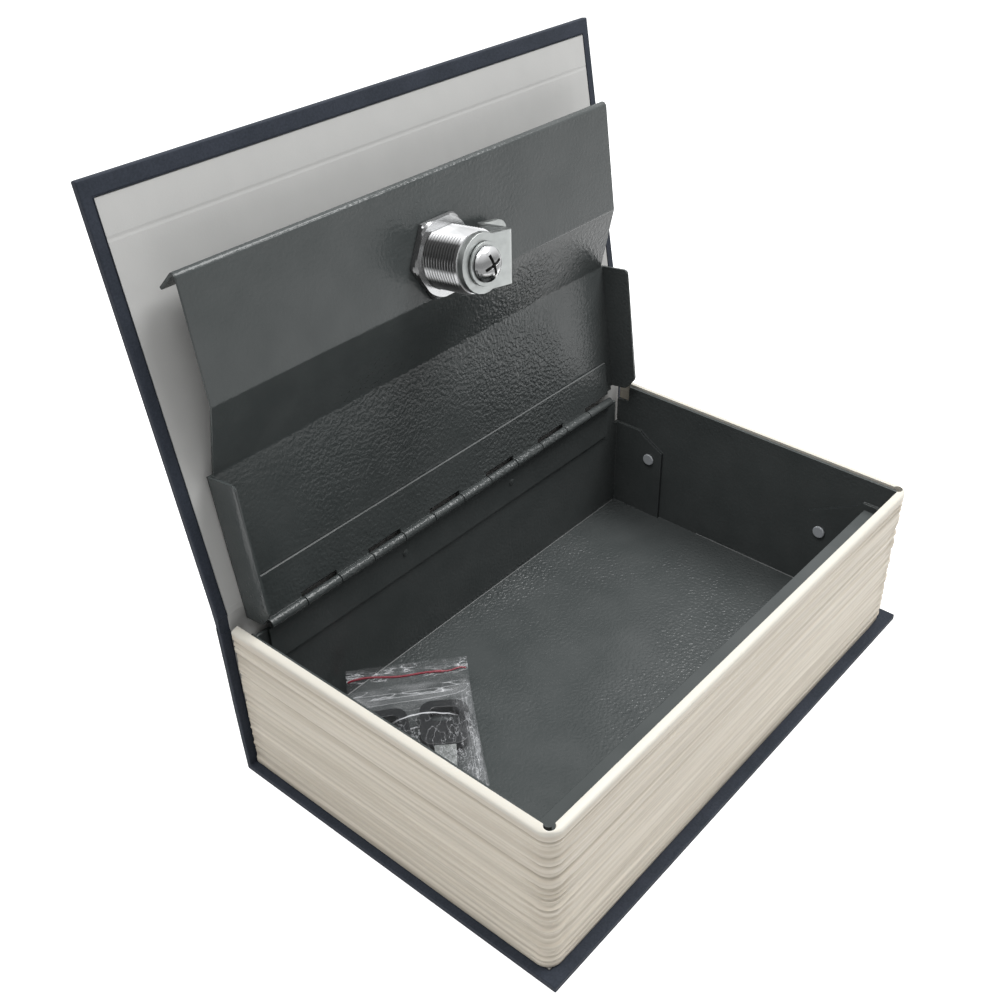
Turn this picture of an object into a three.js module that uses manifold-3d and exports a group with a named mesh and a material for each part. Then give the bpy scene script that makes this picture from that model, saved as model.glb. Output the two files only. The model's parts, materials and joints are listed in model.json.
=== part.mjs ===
// Book diversion safe: a steel key-lock cash box hidden in a hollow book, shown open.
//
// Frame: millimetres, +Z up. The origin is the middle of the bottom board's underside.
// X runs along the spine, the fore edge looks to -Y and the spine stands at +Y.
// The cover and the steel lid are modelled closed, about their own hinge lines, and
// each then hangs in a group that is turned open about X.

import * as THREE from 'three';
import { mergeVertices } from 'three/addons/utils/BufferGeometryUtils.js';
import Module from 'manifold-3d';

const wasm = await Module();
wasm.setup();

// Book case: boards wrapped in cloth, with a paper pasted inside
const bookLength = 180;
const bookDepth = 115;
const clothThickness = 0.3;
const paperThickness = 0.3;
const boardThickness = 1.4;
const spineBoardThickness = 0.7;
const coverBoardThickness = 1.1;
const layGap = 0.2;
const sideTurnIn = 3;
const edgeTurnIn = 4.3;
const spineLean = 1.3;
const spineBow = 0.35;
const spineBackset = 0.1;
const coverOpenAngle = 99.88;
const coverOverhang = 1.3;
const coverDrop = 0.5;
const coverLift = 0.2;
const coverHingeGap = 1.6;
const jointSetback = 0.7;
const jointRadius = 1;
const jointCloseGap = 0.3;

// Page block: a moulded wall on three sides, ridged like closed pages
const pageTop = 52.7;
const pageWall = 2.3;
const pageSideInset = 2.1;
const pageFrontInset = 3.2;
const pageBackInset = 2.3;
const pageCornerRadius = 4.5;
const pageRows = 15;
const pageRipple = 0.55;
const pageUnevenShare = 0.3;
const pageRowPhase = 2.4;
const pageCrestShare = 0.3;
const rimHeight = 2.9;
const rimRounding = 0.6;
const cornerReliefRadius = 1.5;
const cornerReliefDepth = 7;
const cornerReliefSetback = 0.5;

// Steel box folded from one sheet
const steelThickness = 1;
const boxClearance = 0.1;
const boxCornerRadius = 1.6;
const boxRimReveal = 0.7;
const ledgeDepth = 8.7;
const lidSeatGap = 0.3;
const slitWidth = 2.2;
const backWallGap = 1.25;
const sideNotch = { length: 5, depth: 6 };
const frontFlap = { top: 43.9, flat: 9, reach: 27, shoulder: 11, nose: 2.5 };
const backFlap = { top: 36.8, flat: 10.3, reach: 20, shoulder: 6, nose: 1.2 };
const rivet = { head: 2.3, dome: 0.9, shank: 1.2, height: 26.8, front: 21.9, back: 14.8, play: 0.1 };

// Piano hinge
const hingeDrop = 4;
const hingeEndGap = 7.55;
const knuckleCount = 12;
const knuckleGap = 0.3;
const knuckleRadius = 1.45;
const leafThickness = 0.7;
const leafWidth = 14.4;
const leafSlot = 1.2;
const pinRadius = 0.6;
const leafRivet = { head: 1.2, dome: 0.5, shank: 0.6, spacing: 49.2, drop: 7 };

// Lid: one bent sheet with a raised strip at the hinge and a sunk lock panel
const lidOpenAngle = 97.76;
const lidSheet = 0.8;
const lidLeafGap = 0.25;
const lidSideGap = 2.8;
const lockPanelInset = 1.7;
const stripStart = 3;
const slopeLength = 20.3;
const lockPanelLength = 34.8;
const lidFrontGap = 1.35;
const lidStep = 7.5;
const lipBack = 5.85;
const lipRise = 8;
const bendRadius = 2.6;
const lipBendRadius = 1.4;
const flangeDepth = 10.1;
const flangeStart = 4.2;
const flangeChamfer = 4.1;

// Cam lock
const lockAcross = 1.5;
const lockEdgeDistance = 24.1;
const turnGap = 0.25;
const barrelRadius = 9;
const barrelFlat = 8;
const barrelLength = 14;
const headRadius = 10.6;
const headThickness = 2.4;
const plugRadius = 6;
const plugClearance = 0.25;
const plugFlange = { radius: 7.2, depth: 1.2 };
const keyway = { width: 2, height: 8, depth: 12 };
const waferCount = 4;
const wafer = { thickness: 0.6, width: 6.4, height: 8.6, pitch: 2.2, first: 3.4, play: 0.15, window: 5 };
const nutAcross = 22;
const nutThickness = 2;
const camThickness = 2;
const camWidth = 15;
const camHubRadius = 8.3;
const camBend = 10.8;
const camReach = 22.4;
const camCrank = 11.7;
const camBendRadius = 2.4;
const camShoulder = 3;
const camRestAngle = 9;
const tail = { size: 7, play: 0.25 };
const washer = { radius: 6, thickness: 0.7 };
const screw = { head: 5, dome: 2.6, shank: 2.2, length: 7, recess: 3, slot: 0.9, depth: 1.6 };

// Clear bag with the two keys, lying in a corner of the box
const bag = { side: 29.1, back: 29.7, turn: -40, left: -17, right: 20, bottom: -22.5, top: 24 };
const bagWall = 0.4;
const bagHalfHeight = 2.9;
const bagEdgeHalfHeight = 0.9;
const bagMouthRise = 7.5;
const bagFullnessPower = 0.35;
const bagMouthPower = 10;
const bagFloorGap = 0.3;
const keyBow = { width: 14.5, height: 18, thickness: 2.6, corner: 4, hole: 5.5, frame: 3 };
const keyBlade = { width: 6.4, thickness: 1.6, length: 15, root: 5, play: 0.2, cut: 1.4, cuts: 3 };
const keyCutShares = [1 / 3, 2 / 3];
const keyHeight = 2.9;
const keyPlaces = [
  { name: 'key_1', x: 9.6, y: 3.6, turn: -5 },
  { name: 'key_2', x: -6.6, y: 2.6, turn: 3 },
];

// One overrun for all cuts, the distance that welds points, and the steps on round work
const overrun = 1;
const weldDistance = 0.0001;
const roundSteps = 24;
const bendSteps = 5;

// Places worked out from the sizes above
const halfLength = bookLength / 2;
const bookFront = -bookDepth / 2;
const bookBack = bookDepth / 2 - spineBackset;
const caseFloor = clothThickness + boardThickness + paperThickness;
const spineThickness = clothThickness + spineBoardThickness + 2 * layGap + paperThickness;
const coverThickness = clothThickness * 2 + coverBoardThickness + 2 * layGap;
const jointHeight = pageTop + coverLift + coverThickness - coverDrop;
const jointDepth = bookDepth / 2 + jointSetback;
const coverLength = jointDepth - bookFront + coverOverhang;
const pageHalf = halfLength - pageSideInset;
const pageFront = bookFront + pageFrontInset;
const pageBack = bookDepth / 2 - pageBackInset;
const pocketHalf = pageHalf - pageWall;
const pocketFront = pageFront + pageWall;
const boxHalf = pocketHalf - boxClearance;
const boxFront = pocketFront + boxClearance;
const boxBack = bookBack - spineThickness - boxClearance;
const boxInnerHalf = boxHalf - steelThickness;
const boxInnerFront = boxFront + steelThickness;
const boxInnerBack = boxBack - steelThickness;
const boxFloor = caseFloor + steelThickness;
const boxTop = pageTop - boxRimReveal;
const hingeHeight = pageTop - hingeDrop;
const hingeDepth = boxInnerBack - knuckleRadius;
const lidReach = hingeDepth - boxInnerFront - lidFrontGap;
const slopeEnd = lidReach - lockPanelLength;
const stripEnd = slopeEnd - slopeLength;
const lockAlong = lidReach - lockEdgeDistance;
const hingeLength = 2 * (boxInnerHalf - hingeEndGap);
const knucklePitch = (hingeLength + knuckleGap) / knuckleCount;
const stripUnderside = knuckleRadius + lidLeafGap;
const lockUnderside = stripUnderside - lidStep;
const ledgeTop = hingeHeight + lockUnderside - lidSeatGap;
const backWallTop = hingeHeight - knuckleRadius - backWallGap;
const lidHalf = boxInnerHalf - lidSideGap;
const lockPanelHalf = lidHalf - lockPanelInset;
const bored = knuckleRadius - leafThickness;
const plugBore = plugRadius + plugClearance;
const degree = Math.PI / 180;

// Geometry helpers

function place(geometry, x, y, z) {
  return geometry.translate(x, y, z);
}

// A plain plate between two corners.
function plate(x0, x1, y0, y1, z0, z1) {
  const geometry = new THREE.BoxGeometry(x1 - x0, y1 - y0, z1 - z0);
  return place(geometry, (x0 + x1) / 2, (y0 + y1) / 2, (z0 + z1) / 2);
}

// A plate on the left or the right: its two X values are distances from the middle.
function sidePlate(side, near, far, y0, y1, z0, z1) {
  return side > 0 ? plate(near, far, y0, y1, z0, z1) : plate(-far, -near, y0, y1, z0, z1);
}

// A shape extruded without bevels, from zero to depth.
function extruded(shape, depth) {
  return new THREE.ExtrudeGeometry(shape, { depth, bevelEnabled: false, curveSegments: roundSteps });
}

// An outline in (y, z) drawn out along X.
function prismX(points, x0, x1) {
  const geometry = extruded(new THREE.Shape(points), x1 - x0);
  const basis = new THREE.Matrix4().makeBasis(
    new THREE.Vector3(0, 1, 0), new THREE.Vector3(0, 0, 1), new THREE.Vector3(1, 0, 0));
  return place(geometry.applyMatrix4(basis), x0, 0, 0);
}

// An outline in (x, y) drawn up along Z.
function prismZ(points, z0, z1) {
  return place(extruded(new THREE.Shape(points), z1 - z0), 0, 0, z0);
}

// A round bar, upright or along one of the other axes.
function bar(radius, length, steps = roundSteps) {
  return new THREE.CylinderGeometry(radius, radius, length, steps).rotateX(Math.PI / 2);
}

function barX(radius, x0, x1, y, z) {
  return place(bar(radius, x1 - x0).rotateY(Math.PI / 2), (x0 + x1) / 2, y, z);
}

function barZ(radius, x, y, z0, z1, steps = roundSteps) {
  return place(bar(radius, z1 - z0, steps), x, y, (z0 + z1) / 2);
}

// A turned piece about Z from a list of (radius, height) that starts and ends on the axis.
function turned(profile) {
  const points = profile.map(([radius, height]) => new THREE.Vector2(radius, height));
  return new THREE.LatheGeometry(points, roundSteps).rotateX(Math.PI / 2);
}

// A polyline with each inner corner replaced by an arc.
function rounded(points, radii) {
  const line = [points[0]];
  for (let i = 1; i < points.length - 1; i += 1) {
    const before = points[i - 1].clone().sub(points[i]).normalize();
    const after = points[i + 1].clone().sub(points[i]).normalize();
    const half = Math.acos(before.dot(after)) / 2;
    const radius = radii[i - 1];
    const middle = before.clone().add(after).normalize();
    const centre = points[i].clone().addScaledVector(middle, radius / Math.sin(half));
    const start = points[i].clone().addScaledVector(before, radius / Math.tan(half)).sub(centre);
    const sweep = (Math.PI - 2 * half) * Math.sign(after.cross(before));
    for (let k = 0; k <= bendSteps; k += 1) {
      const spoke = start.clone().rotateAround(new THREE.Vector2(), (sweep * k) / bendSteps);
      line.push(spoke.add(centre));
    }
  }
  line.push(points[points.length - 1]);
  return line;
}

// The line moved sideways to its right by a thickness, corner by corner.
function offsetLine(line, thickness) {
  return line.map((point, i) => {
    const ahead = i < line.length - 1 ? line[i + 1].clone().sub(point).normalize() : null;
    const behind = i > 0 ? point.clone().sub(line[i - 1]).normalize() : ahead;
    const onward = ahead ?? behind;
    const mean = behind.clone().add(onward).normalize();
    const reach = thickness / mean.dot(onward);
    return new THREE.Vector2(point.x + mean.y * reach, point.y - mean.x * reach);
  });
}

// The outline of a bent sheet: a line with rounded bends and a thickness on its right.
function sheetOutline(points, radii, thickness) {
  const line = rounded(points, radii);
  return [...line, ...offsetLine(line, thickness).reverse()];
}

// The closed skin through rings of equal point counts, with both ends capped.
function lofted(rings) {
  const count = rings[0].length;
  const positions = rings.flat().flatMap((point) => [point.x, point.y, point.z]);
  const index = [];
  for (let k = 0; k < rings.length - 1; k += 1) {
    for (let i = 0; i < count; i += 1) {
      const a = k * count + i;
      const b = k * count + ((i + 1) % count);
      index.push(a, b, b + count, a, b + count, a + count);
    }
  }
  const last = (rings.length - 1) * count;
  for (let i = 1; i < count - 1; i += 1) {
    index.push(0, i + 1, i);
    index.push(last, last + i, last + i + 1);
  }
  const geometry = new THREE.BufferGeometry();
  geometry.setAttribute('position', new THREE.Float32BufferAttribute(positions, 3));
  geometry.setIndex(index);
  return geometry;
}

// A rectangle with rounded corners in plan, counter-clockwise.
function roundedRectangle(x0, x1, y0, y1, radius) {
  const corners = [[x1 - radius, y0 + radius, -1], [x1 - radius, y1 - radius, 0],
    [x0 + radius, y1 - radius, 1], [x0 + radius, y0 + radius, 2]];
  const points = [];
  for (const [x, y, quarter] of corners) {
    for (let k = 0; k <= bendSteps; k += 1) {
      const angle = (quarter + k / bendSteps) * (Math.PI / 2);
      points.push(new THREE.Vector2(x + radius * Math.cos(angle), y + radius * Math.sin(angle)));
    }
  }
  return points;
}

// Solids: a geometry becomes a manifold for cuts and joins, and comes back as a geometry.
function solid(geometry) {
  const plain = geometry.clone();
  plain.deleteAttribute('normal');
  plain.deleteAttribute('uv');
  const merged = mergeVertices(plain, weldDistance);
  return new wasm.Manifold(new wasm.Mesh({
    numProp: 3,
    vertProperties: new Float32Array(merged.attributes.position.array),
    triVerts: new Uint32Array(merged.index.array),
  }));
}

function join(...geometries) {
  return geometries.map(solid).reduce((sum, next) => sum.add(next));
}

function cut(body, ...tools) {
  const start = body instanceof THREE.BufferGeometry ? solid(body) : body;
  return tools.map(solid).reduce((rest, tool) => rest.subtract(tool), start);
}

function geometryOf(manifold) {
  const mesh = manifold.getMesh();
  const geometry = new THREE.BufferGeometry();
  geometry.setAttribute('position', new THREE.Float32BufferAttribute(mesh.vertProperties, 3));
  geometry.setIndex(new THREE.BufferAttribute(mesh.triVerts, 1));
  return geometry;
}

function piece(name, shape, color, roughness, metalness) {
  const geometry = shape instanceof THREE.BufferGeometry ? shape : geometryOf(shape);
  geometry.computeVertexNormals();
  const material = new THREE.MeshStandardMaterial({ color, roughness, metalness });
  const mesh = new THREE.Mesh(geometry, material);
  mesh.name = name;
  return mesh;
}

const bookCloth = (name, shape) => piece(name, shape, 0x1a2136, 0.85, 0);
const greyBoard = (name, shape) => piece(name, shape, 0x8a8378, 0.95, 0);
const greyPaper = (name, shape) => piece(name, shape, 0xc9cacc, 0.8, 0);
const ivoryPlastic = (name, shape) => piece(name, shape, 0xe9e5d3, 0.6, 0);
const darkSteel = (name, shape) => piece(name, shape, 0x3f4244, 0.5, 0.3);
const brightSteel = (name, shape) => piece(name, shape, 0xc4c6c8, 0.3, 0.9);
const chrome = (name, shape) => piece(name, shape, 0xd8dadc, 0.15, 1);
const brass = (name, shape) => piece(name, shape, 0xb8994e, 0.35, 0.9);
const clearFilm = (name, shape) => piece(name, shape, 0xdfe2e4, 0.2, 0);
const blackPlastic = (name, shape) => piece(name, shape, 0x141414, 0.4, 0);

// Book case

// The spine stands a little bowed and leaning back: its outer face at a height.
function spineFace(height) {
  const share = height / jointHeight;
  return bookBack + spineLean * share + 4 * spineBow * share * (1 - share);
}

// A slice of the spine between two depths under its outer face.
function spineSlice(outer, inner, z0, z1, x0, x1) {
  const points = [];
  for (let k = 0; k <= bendSteps * 2; k += 1) {
    const z = z0 + ((z1 - z0) * k) / (bendSteps * 2);
    points.push(new THREE.Vector2(spineFace(z) - outer, z));
  }
  const back = points.map((point) => new THREE.Vector2(point.x + outer - inner, point.y)).reverse();
  return prismX([...points, ...back], x0, x1);
}

// Above the spine board only the cloth goes on, to the joint.
const spineClothTop = jointHeight - jointRadius - jointCloseGap;
const spineBoardTop = hingeHeight + stripStart - layGap;

function makeCaseCloth() {
  const bottom = plate(-halfLength, halfLength, bookFront, bookBack, 0, caseFloor);
  const spine = spineSlice(0, spineThickness, 0, spineBoardTop, -halfLength, halfLength);
  const flap = spineSlice(0, clothThickness, 0, spineClothTop, -halfLength, halfLength);
  const boardHalf = halfLength - clothThickness;
  const paperHalf = halfLength - sideTurnIn;
  const boardFront = bookFront + clothThickness;
  const boardRoom = plate(-boardHalf, boardHalf, boardFront, bookBack - clothThickness,
    clothThickness, clothThickness + boardThickness);
  const paperRoom = plate(-paperHalf, paperHalf, bookFront + edgeTurnIn, bookBack - spineThickness,
    clothThickness + boardThickness, caseFloor + overrun);
  const spineRoom = spineSlice(clothThickness, spineThickness - paperThickness, caseFloor,
    spineBoardTop - clothThickness, -boardHalf, boardHalf);
  const linerRoom = spineSlice(spineThickness - paperThickness - layGap, spineThickness + overrun,
    caseFloor, spineBoardTop - sideTurnIn, -paperHalf, paperHalf);
  return cut(join(bottom, spine, flap), boardRoom, paperRoom, spineRoom, linerRoom);
}

function makeBottomBoard() {
  const half = halfLength - clothThickness;
  return plate(-half, half, bookFront + clothThickness, bookBack - clothThickness,
    clothThickness, clothThickness + boardThickness);
}

function makeBottomEndpaper() {
  const half = halfLength - sideTurnIn - layGap;
  return plate(-half, half, bookFront + edgeTurnIn + layGap, bookBack - spineThickness - layGap,
    caseFloor - paperThickness, caseFloor);
}

function makeSpineBoard() {
  const half = halfLength - clothThickness - layGap;
  const depth = clothThickness + layGap;
  return spineSlice(depth, depth + spineBoardThickness, caseFloor + layGap,
    spineBoardTop - clothThickness - layGap, -half, half);
}

function makeSpineLiner() {
  const half = halfLength - sideTurnIn - layGap;
  return spineSlice(spineThickness - paperThickness, spineThickness, caseFloor + layGap,
    spineBoardTop - sideTurnIn - layGap, -half, half);
}

// Cover, closed, about the joint line: it lies to -Y with its outer face up
const coverInside = coverDrop - coverThickness;

function makeCoverCloth() {
  const boardHalf = halfLength - clothThickness;
  const paperHalf = halfLength - sideTurnIn;
  const block = plate(-halfLength, halfLength, -coverLength, -coverHingeGap, coverInside, coverDrop);
  const boardRoom = plate(-boardHalf, boardHalf, -coverLength + clothThickness,
    -coverHingeGap - clothThickness, coverInside + clothThickness, coverDrop - clothThickness);
  const paperRoom = plate(-paperHalf, paperHalf, -coverLength + edgeTurnIn, overrun,
    coverInside - overrun, coverInside + clothThickness + layGap);
  return cut(block, boardRoom, paperRoom);
}

function makeCoverBoard() {
  const inset = clothThickness + layGap;
  const half = halfLength - inset;
  return plate(-half, half, -coverLength + inset, -coverHingeGap - inset,
    coverInside + inset, coverDrop - inset);
}

function makeCoverEndpaper() {
  const half = halfLength - sideTurnIn - layGap;
  return plate(-half, half, -coverLength + edgeTurnIn + layGap, -coverHingeGap,
    coverInside, coverInside + paperThickness);
}

// Page block

// Each row of pages swells between two grooves, a little differently from the next.
function pageInset(row) {
  return pageRipple * (1 - pageUnevenShare + pageUnevenShare * Math.sin(row * pageRowPhase));
}

function makePageBlock() {
  const rings = [];
  const ring = (inset, z) => {
    const outline = roundedRectangle(-pageHalf + inset, pageHalf - inset, pageFront + inset,
      pageBack + pageCornerRadius, pageCornerRadius);
    rings.push(outline.map((point) => new THREE.Vector3(point.x, point.y, z)));
  };
  const rowsTop = pageTop - rimHeight;
  const rowHeight = (rowsTop - caseFloor) / pageRows;
  for (let row = 0; row < pageRows; row += 1) {
    const z = caseFloor + row * rowHeight;
    ring(pageInset(row), z);
    ring(0, z + rowHeight * pageCrestShare);
    ring(0, z + rowHeight * (1 - pageCrestShare));
  }
  ring(pageRipple, rowsTop);
  ring(0, rowsTop + rimRounding);
  ring(0, pageTop - rimRounding);
  ring(rimRounding, pageTop);
  const pocket = plate(-pocketHalf, pocketHalf, pocketFront, pageBack + overrun + pageCornerRadius,
    caseFloor - overrun, pageTop + overrun);
  const backCut = plate(-halfLength, halfLength, pageBack, pageBack + overrun + pageCornerRadius,
    caseFloor - overrun, pageTop + overrun);
  const relief = [-1, 1].map((side) => barZ(cornerReliefRadius, side * (pocketHalf - cornerReliefSetback),
    pocketFront + cornerReliefSetback, pageTop - cornerReliefDepth, pageTop + overrun));
  return cut(lofted(rings), pocket, backCut, ...relief);
}

// Steel box

// A flap bent off an end wall and lying on the side wall, with its free corner cut off.
// Its outline is measured from the end wall, and direction says which way it runs.
function flapPlate(flap, wall, direction, side) {
  const at = (length, z) => new THREE.Vector2(wall + direction * length, z);
  const points = [
    at(0, boxFloor), at(flap.reach, boxFloor), at(flap.reach, flap.top - flap.shoulder),
    at(flap.flat + flap.nose, flap.top - flap.nose), at(flap.flat, flap.top), at(0, flap.top),
  ];
  const outline = direction > 0 ? points : points.reverse();
  const face = boxInnerHalf - steelThickness;
  return side > 0 ? prismX(outline, face, boxInnerHalf) : prismX(outline, -boxInnerHalf, -face);
}

// The four rivet places, as side and depth.
const rivetPlaces = [
  { name: 'rivet_front_left', side: -1, y: boxInnerFront + rivet.front },
  { name: 'rivet_front_right', side: 1, y: boxInnerFront + rivet.front },
  { name: 'rivet_back_left', side: -1, y: boxInnerBack - rivet.back },
  { name: 'rivet_back_right', side: 1, y: boxInnerBack - rivet.back },
];

function makeSteelBox() {
  const outer = prismZ(roundedRectangle(-boxHalf, boxHalf, boxFront, boxBack, boxCornerRadius),
    caseFloor, boxTop);
  const inner = prismZ(roundedRectangle(-boxInnerHalf, boxInnerHalf, boxInnerFront, boxInnerBack,
    boxCornerRadius - steelThickness), boxFloor, boxTop + overrun);
  const frontCut = plate(-boxInnerHalf, boxInnerHalf, boxFront - overrun, boxInnerFront + overrun,
    ledgeTop, boxTop + overrun);
  const backCut = plate(-boxInnerHalf, boxInnerHalf, boxInnerBack - overrun, boxBack + overrun,
    backWallTop, boxTop + overrun);
  const ledge = plate(-boxInnerHalf + slitWidth, boxInnerHalf - slitWidth, boxFront + steelThickness / 2,
    boxInnerFront + ledgeDepth - steelThickness, ledgeTop - steelThickness, ledgeTop);
  let box = cut(outer, inner, frontCut, backCut).add(solid(ledge));
  for (const side of [-1, 1]) {
    const slit = sidePlate(side, boxInnerHalf - slitWidth, boxInnerHalf,
      boxInnerBack - overrun, boxBack + overrun, backFlap.top, boxTop + overrun);
    const notch = sidePlate(side, boxInnerHalf, boxHalf + overrun,
      boxBack - sideNotch.length, boxBack + overrun, boxTop - sideNotch.depth, boxTop + overrun);
    box = cut(box, slit, notch);
    box = box.add(solid(flapPlate(frontFlap, boxInnerFront, 1, side)));
    box = box.add(solid(flapPlate(backFlap, boxInnerBack, -1, side)));
  }
  const holes = rivetPlaces.map(({ side, y }) => {
    const ends = [side * (boxInnerHalf - steelThickness * 2), side * (boxHalf + overrun)];
    return barX(rivet.shank + rivet.play, Math.min(...ends), Math.max(...ends), y, rivet.height);
  });
  const leafHoles = [-1, 1].map((side) => leafRivetBar(side, boxInnerBack - overrun, boxBack + overrun,
    leafRivet.shank + rivet.play));
  return cut(box, ...holes, ...leafHoles);
}

// A rivet about Z: a domed head above zero and a shank below it.
function domedRivet(size, length) {
  const profile = [[0, -length], [size.shank, -length], [size.shank, 0], [size.head, 0]];
  for (let k = 1; k < bendSteps; k += 1) {
    const angle = (k / bendSteps) * (Math.PI / 2);
    profile.push([size.head * Math.cos(angle), size.dome * Math.sin(angle)]);
  }
  profile.push([0, size.dome]);
  return turned(profile);
}

// A box rivet holds a flap to a side wall, with its head inside.
function makeBoxRivet(side, y) {
  const face = boxInnerHalf - steelThickness;
  const geometry = domedRivet(rivet, boxHalf - face).rotateY((-side * Math.PI) / 2);
  return place(geometry, side * face, y, rivet.height);
}

// Piano hinge

// The places of the knuckles along X: even ones belong to the lid, odd ones to the box.
function knuckles(first) {
  const places = [];
  for (let i = first; i < knuckleCount; i += 2) {
    const start = -hingeLength / 2 + i * knucklePitch;
    places.push([start, start + knucklePitch - knuckleGap]);
  }
  return places;
}

function tube(x0, x1, y, z) {
  return cut(barX(knuckleRadius, x0, x1, y, z), barX(bored, x0 - overrun, x1 + overrun, y, z));
}

// One leaf about the pin, drawn as the lid's: it runs to -Y and lies above the pin.
function leafAboutPin(first) {
  const other = 1 - first;
  const leaf = plate(-hingeLength / 2, hingeLength / 2, -leafWidth, 0, bored, knuckleRadius);
  const rooms = knuckles(other).map(([x0, x1]) => plate(x0 - knuckleGap, x1 + knuckleGap,
    -knuckleRadius - leafSlot, overrun, bored - overrun, knuckleRadius + overrun));
  let body = cut(leaf, ...rooms);
  for (const [x0, x1] of knuckles(first)) {
    body = body.add(tube(x0, x1, 0, 0));
    body = body.subtract(solid(barX(bored, x0 - overrun, x1 + overrun, 0, 0)));
  }
  return body;
}

// The box leaf is such a leaf turned over, to hang down inside the back wall.
function makeBoxLeaf() {
  const leaf = geometryOf(leafAboutPin(0)).rotateX(Math.PI / 2).rotateZ(Math.PI);
  const holes = [-1, 1].map((side) => leafRivetBar(side, hingeDepth, boxBack, leafRivet.shank + rivet.play));
  return cut(place(leaf, 0, hingeDepth, hingeHeight), ...holes);
}

function leafRivetBar(side, y0, y1, radius) {
  const geometry = bar(radius, y1 - y0).rotateX(Math.PI / 2);
  return place(geometry, (side * leafRivet.spacing) / 2, (y0 + y1) / 2, hingeHeight - leafRivet.drop);
}

function makeLeafRivet(side) {
  const face = hingeDepth + bored;
  const geometry = domedRivet(leafRivet, boxBack - face).rotateX(Math.PI / 2);
  return place(geometry, (side * leafRivet.spacing) / 2, face, hingeHeight - leafRivet.drop);
}

function makeHingePin() {
  return barX(pinRadius, -hingeLength / 2, hingeLength / 2, hingeDepth, hingeHeight);
}

// Lid, closed, about the hinge pin: it lies to -Y with its outer face up

function makeLid() {
  const bends = [bendRadius, bendRadius, lipBendRadius];
  const underside = [
    new THREE.Vector2(-stripStart, stripUnderside),
    new THREE.Vector2(-stripEnd, stripUnderside),
    new THREE.Vector2(-slopeEnd, lockUnderside),
    new THREE.Vector2(-lidReach, lockUnderside),
    new THREE.Vector2(-lidReach + lipBack, lockUnderside + lipRise),
  ];
  const sheet = prismX(sheetOutline(underside, bends, lidSheet), -lockPanelHalf, lockPanelHalf);
  const strip = plate(-lidHalf, lidHalf, -stripEnd, -flangeStart, stripUnderside, stripUnderside + lidSheet);
  const low = stripUnderside - flangeDepth;
  const flangeLine = rounded([
    new THREE.Vector2(-flangeStart, stripUnderside + lidSheet),
    new THREE.Vector2(-flangeStart, low + flangeChamfer),
    new THREE.Vector2(-flangeStart - flangeChamfer, low),
    new THREE.Vector2(-stripEnd, low),
    new THREE.Vector2(-stripEnd, stripUnderside + lidSheet),
  ], [bendRadius, bendRadius, lipBendRadius]);
  const flanges = [prismX(flangeLine, -lidHalf, -lidHalf + lidSheet),
    prismX(flangeLine, lidHalf - lidSheet, lidHalf)];
  const hole = place(prismZ(barrelOutline(turnGap), -overrun, lidSheet + overrun),
    lockAcross, -lockAlong, lockUnderside);
  return cut(join(sheet, strip, ...flanges), hole);
}

// Cam lock, about its own axis: zero height is the underside of the lock panel

// The barrel is round with two flats that keep it from turning in the panel.
function barrelOutline(extra) {
  const points = [];
  for (let k = 0; k < roundSteps * 2; k += 1) {
    const angle = (k / roundSteps) * Math.PI;
    const y = (barrelRadius + extra) * Math.sin(angle);
    const flat = barrelFlat + extra;
    const x = (barrelRadius + extra) * Math.cos(angle);
    points.push(new THREE.Vector2(x, Math.max(-flat, Math.min(flat, y))));
  }
  return points;
}

const headBottom = lidSheet + turnGap;
const headTop = headBottom + headThickness;
const camTop = -barrelLength - turnGap;
const camBottom = camTop - camThickness;
const washerTop = camBottom - turnGap;
const screwTop = washerTop - washer.thickness - turnGap;

function makeLockBody() {
  const headMiddle = headTop - headThickness / 2;
  const head = turned([[0, headBottom], [headRadius, headBottom], [headRadius, headMiddle],
    [headRadius - headThickness / 2, headTop], [0, headTop]]);
  const barrel = prismZ(barrelOutline(0), -barrelLength, headMiddle);
  const bore = barZ(plugBore, 0, 0, -barrelLength - overrun, headTop + overrun);
  const seat = barZ(plugFlange.radius + plugClearance, 0, 0, headTop - plugFlange.depth - plugClearance,
    headTop + overrun);
  return cut(join(head, barrel), bore, seat);
}

function makeLockNut() {
  const corner = nutAcross / 2 / Math.cos(Math.PI / 6);
  const outline = [0, 1, 2, 3, 4, 5].map((k) => new THREE.Vector2(
    corner * Math.cos((k * Math.PI) / 3), corner * Math.sin((k * Math.PI) / 3)));
  const bore = barZ(barrelRadius + turnGap, 0, 0, -turnGap - nutThickness - overrun, overrun);
  return cut(prismZ(outline, -turnGap - nutThickness, -turnGap), bore);
}

const waferTops = Array.from({ length: waferCount }, (_, k) => headTop - wafer.first - k * wafer.pitch);

function makeLockPlug() {
  const shoulder = headTop - plugFlange.depth;
  const body = turned([[0, -barrelLength], [plugRadius, -barrelLength], [plugRadius, shoulder],
    [plugFlange.radius, shoulder], [plugFlange.radius, headTop], [0, headTop]]);
  const square = plate(-tail.size / 2, tail.size / 2, -tail.size / 2, tail.size / 2,
    camBottom + turnGap, -barrelLength + overrun);
  const slot = plate(-keyway.width / 2, keyway.width / 2, -keyway.height / 2, keyway.height / 2,
    headTop - keyway.depth, headTop + overrun);
  const rooms = waferTops.map((top) => plate(
    -wafer.width / 2 - wafer.play, wafer.width / 2 + wafer.play,
    -wafer.height / 2 - wafer.play, wafer.height / 2 + wafer.play,
    top - wafer.thickness - wafer.play, top + wafer.play));
  const thread = barZ(screw.shank + turnGap, 0, 0, camBottom - overrun, screwTop + screw.length + turnGap);
  return cut(join(body, square), slot, ...rooms, thread);
}

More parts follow.
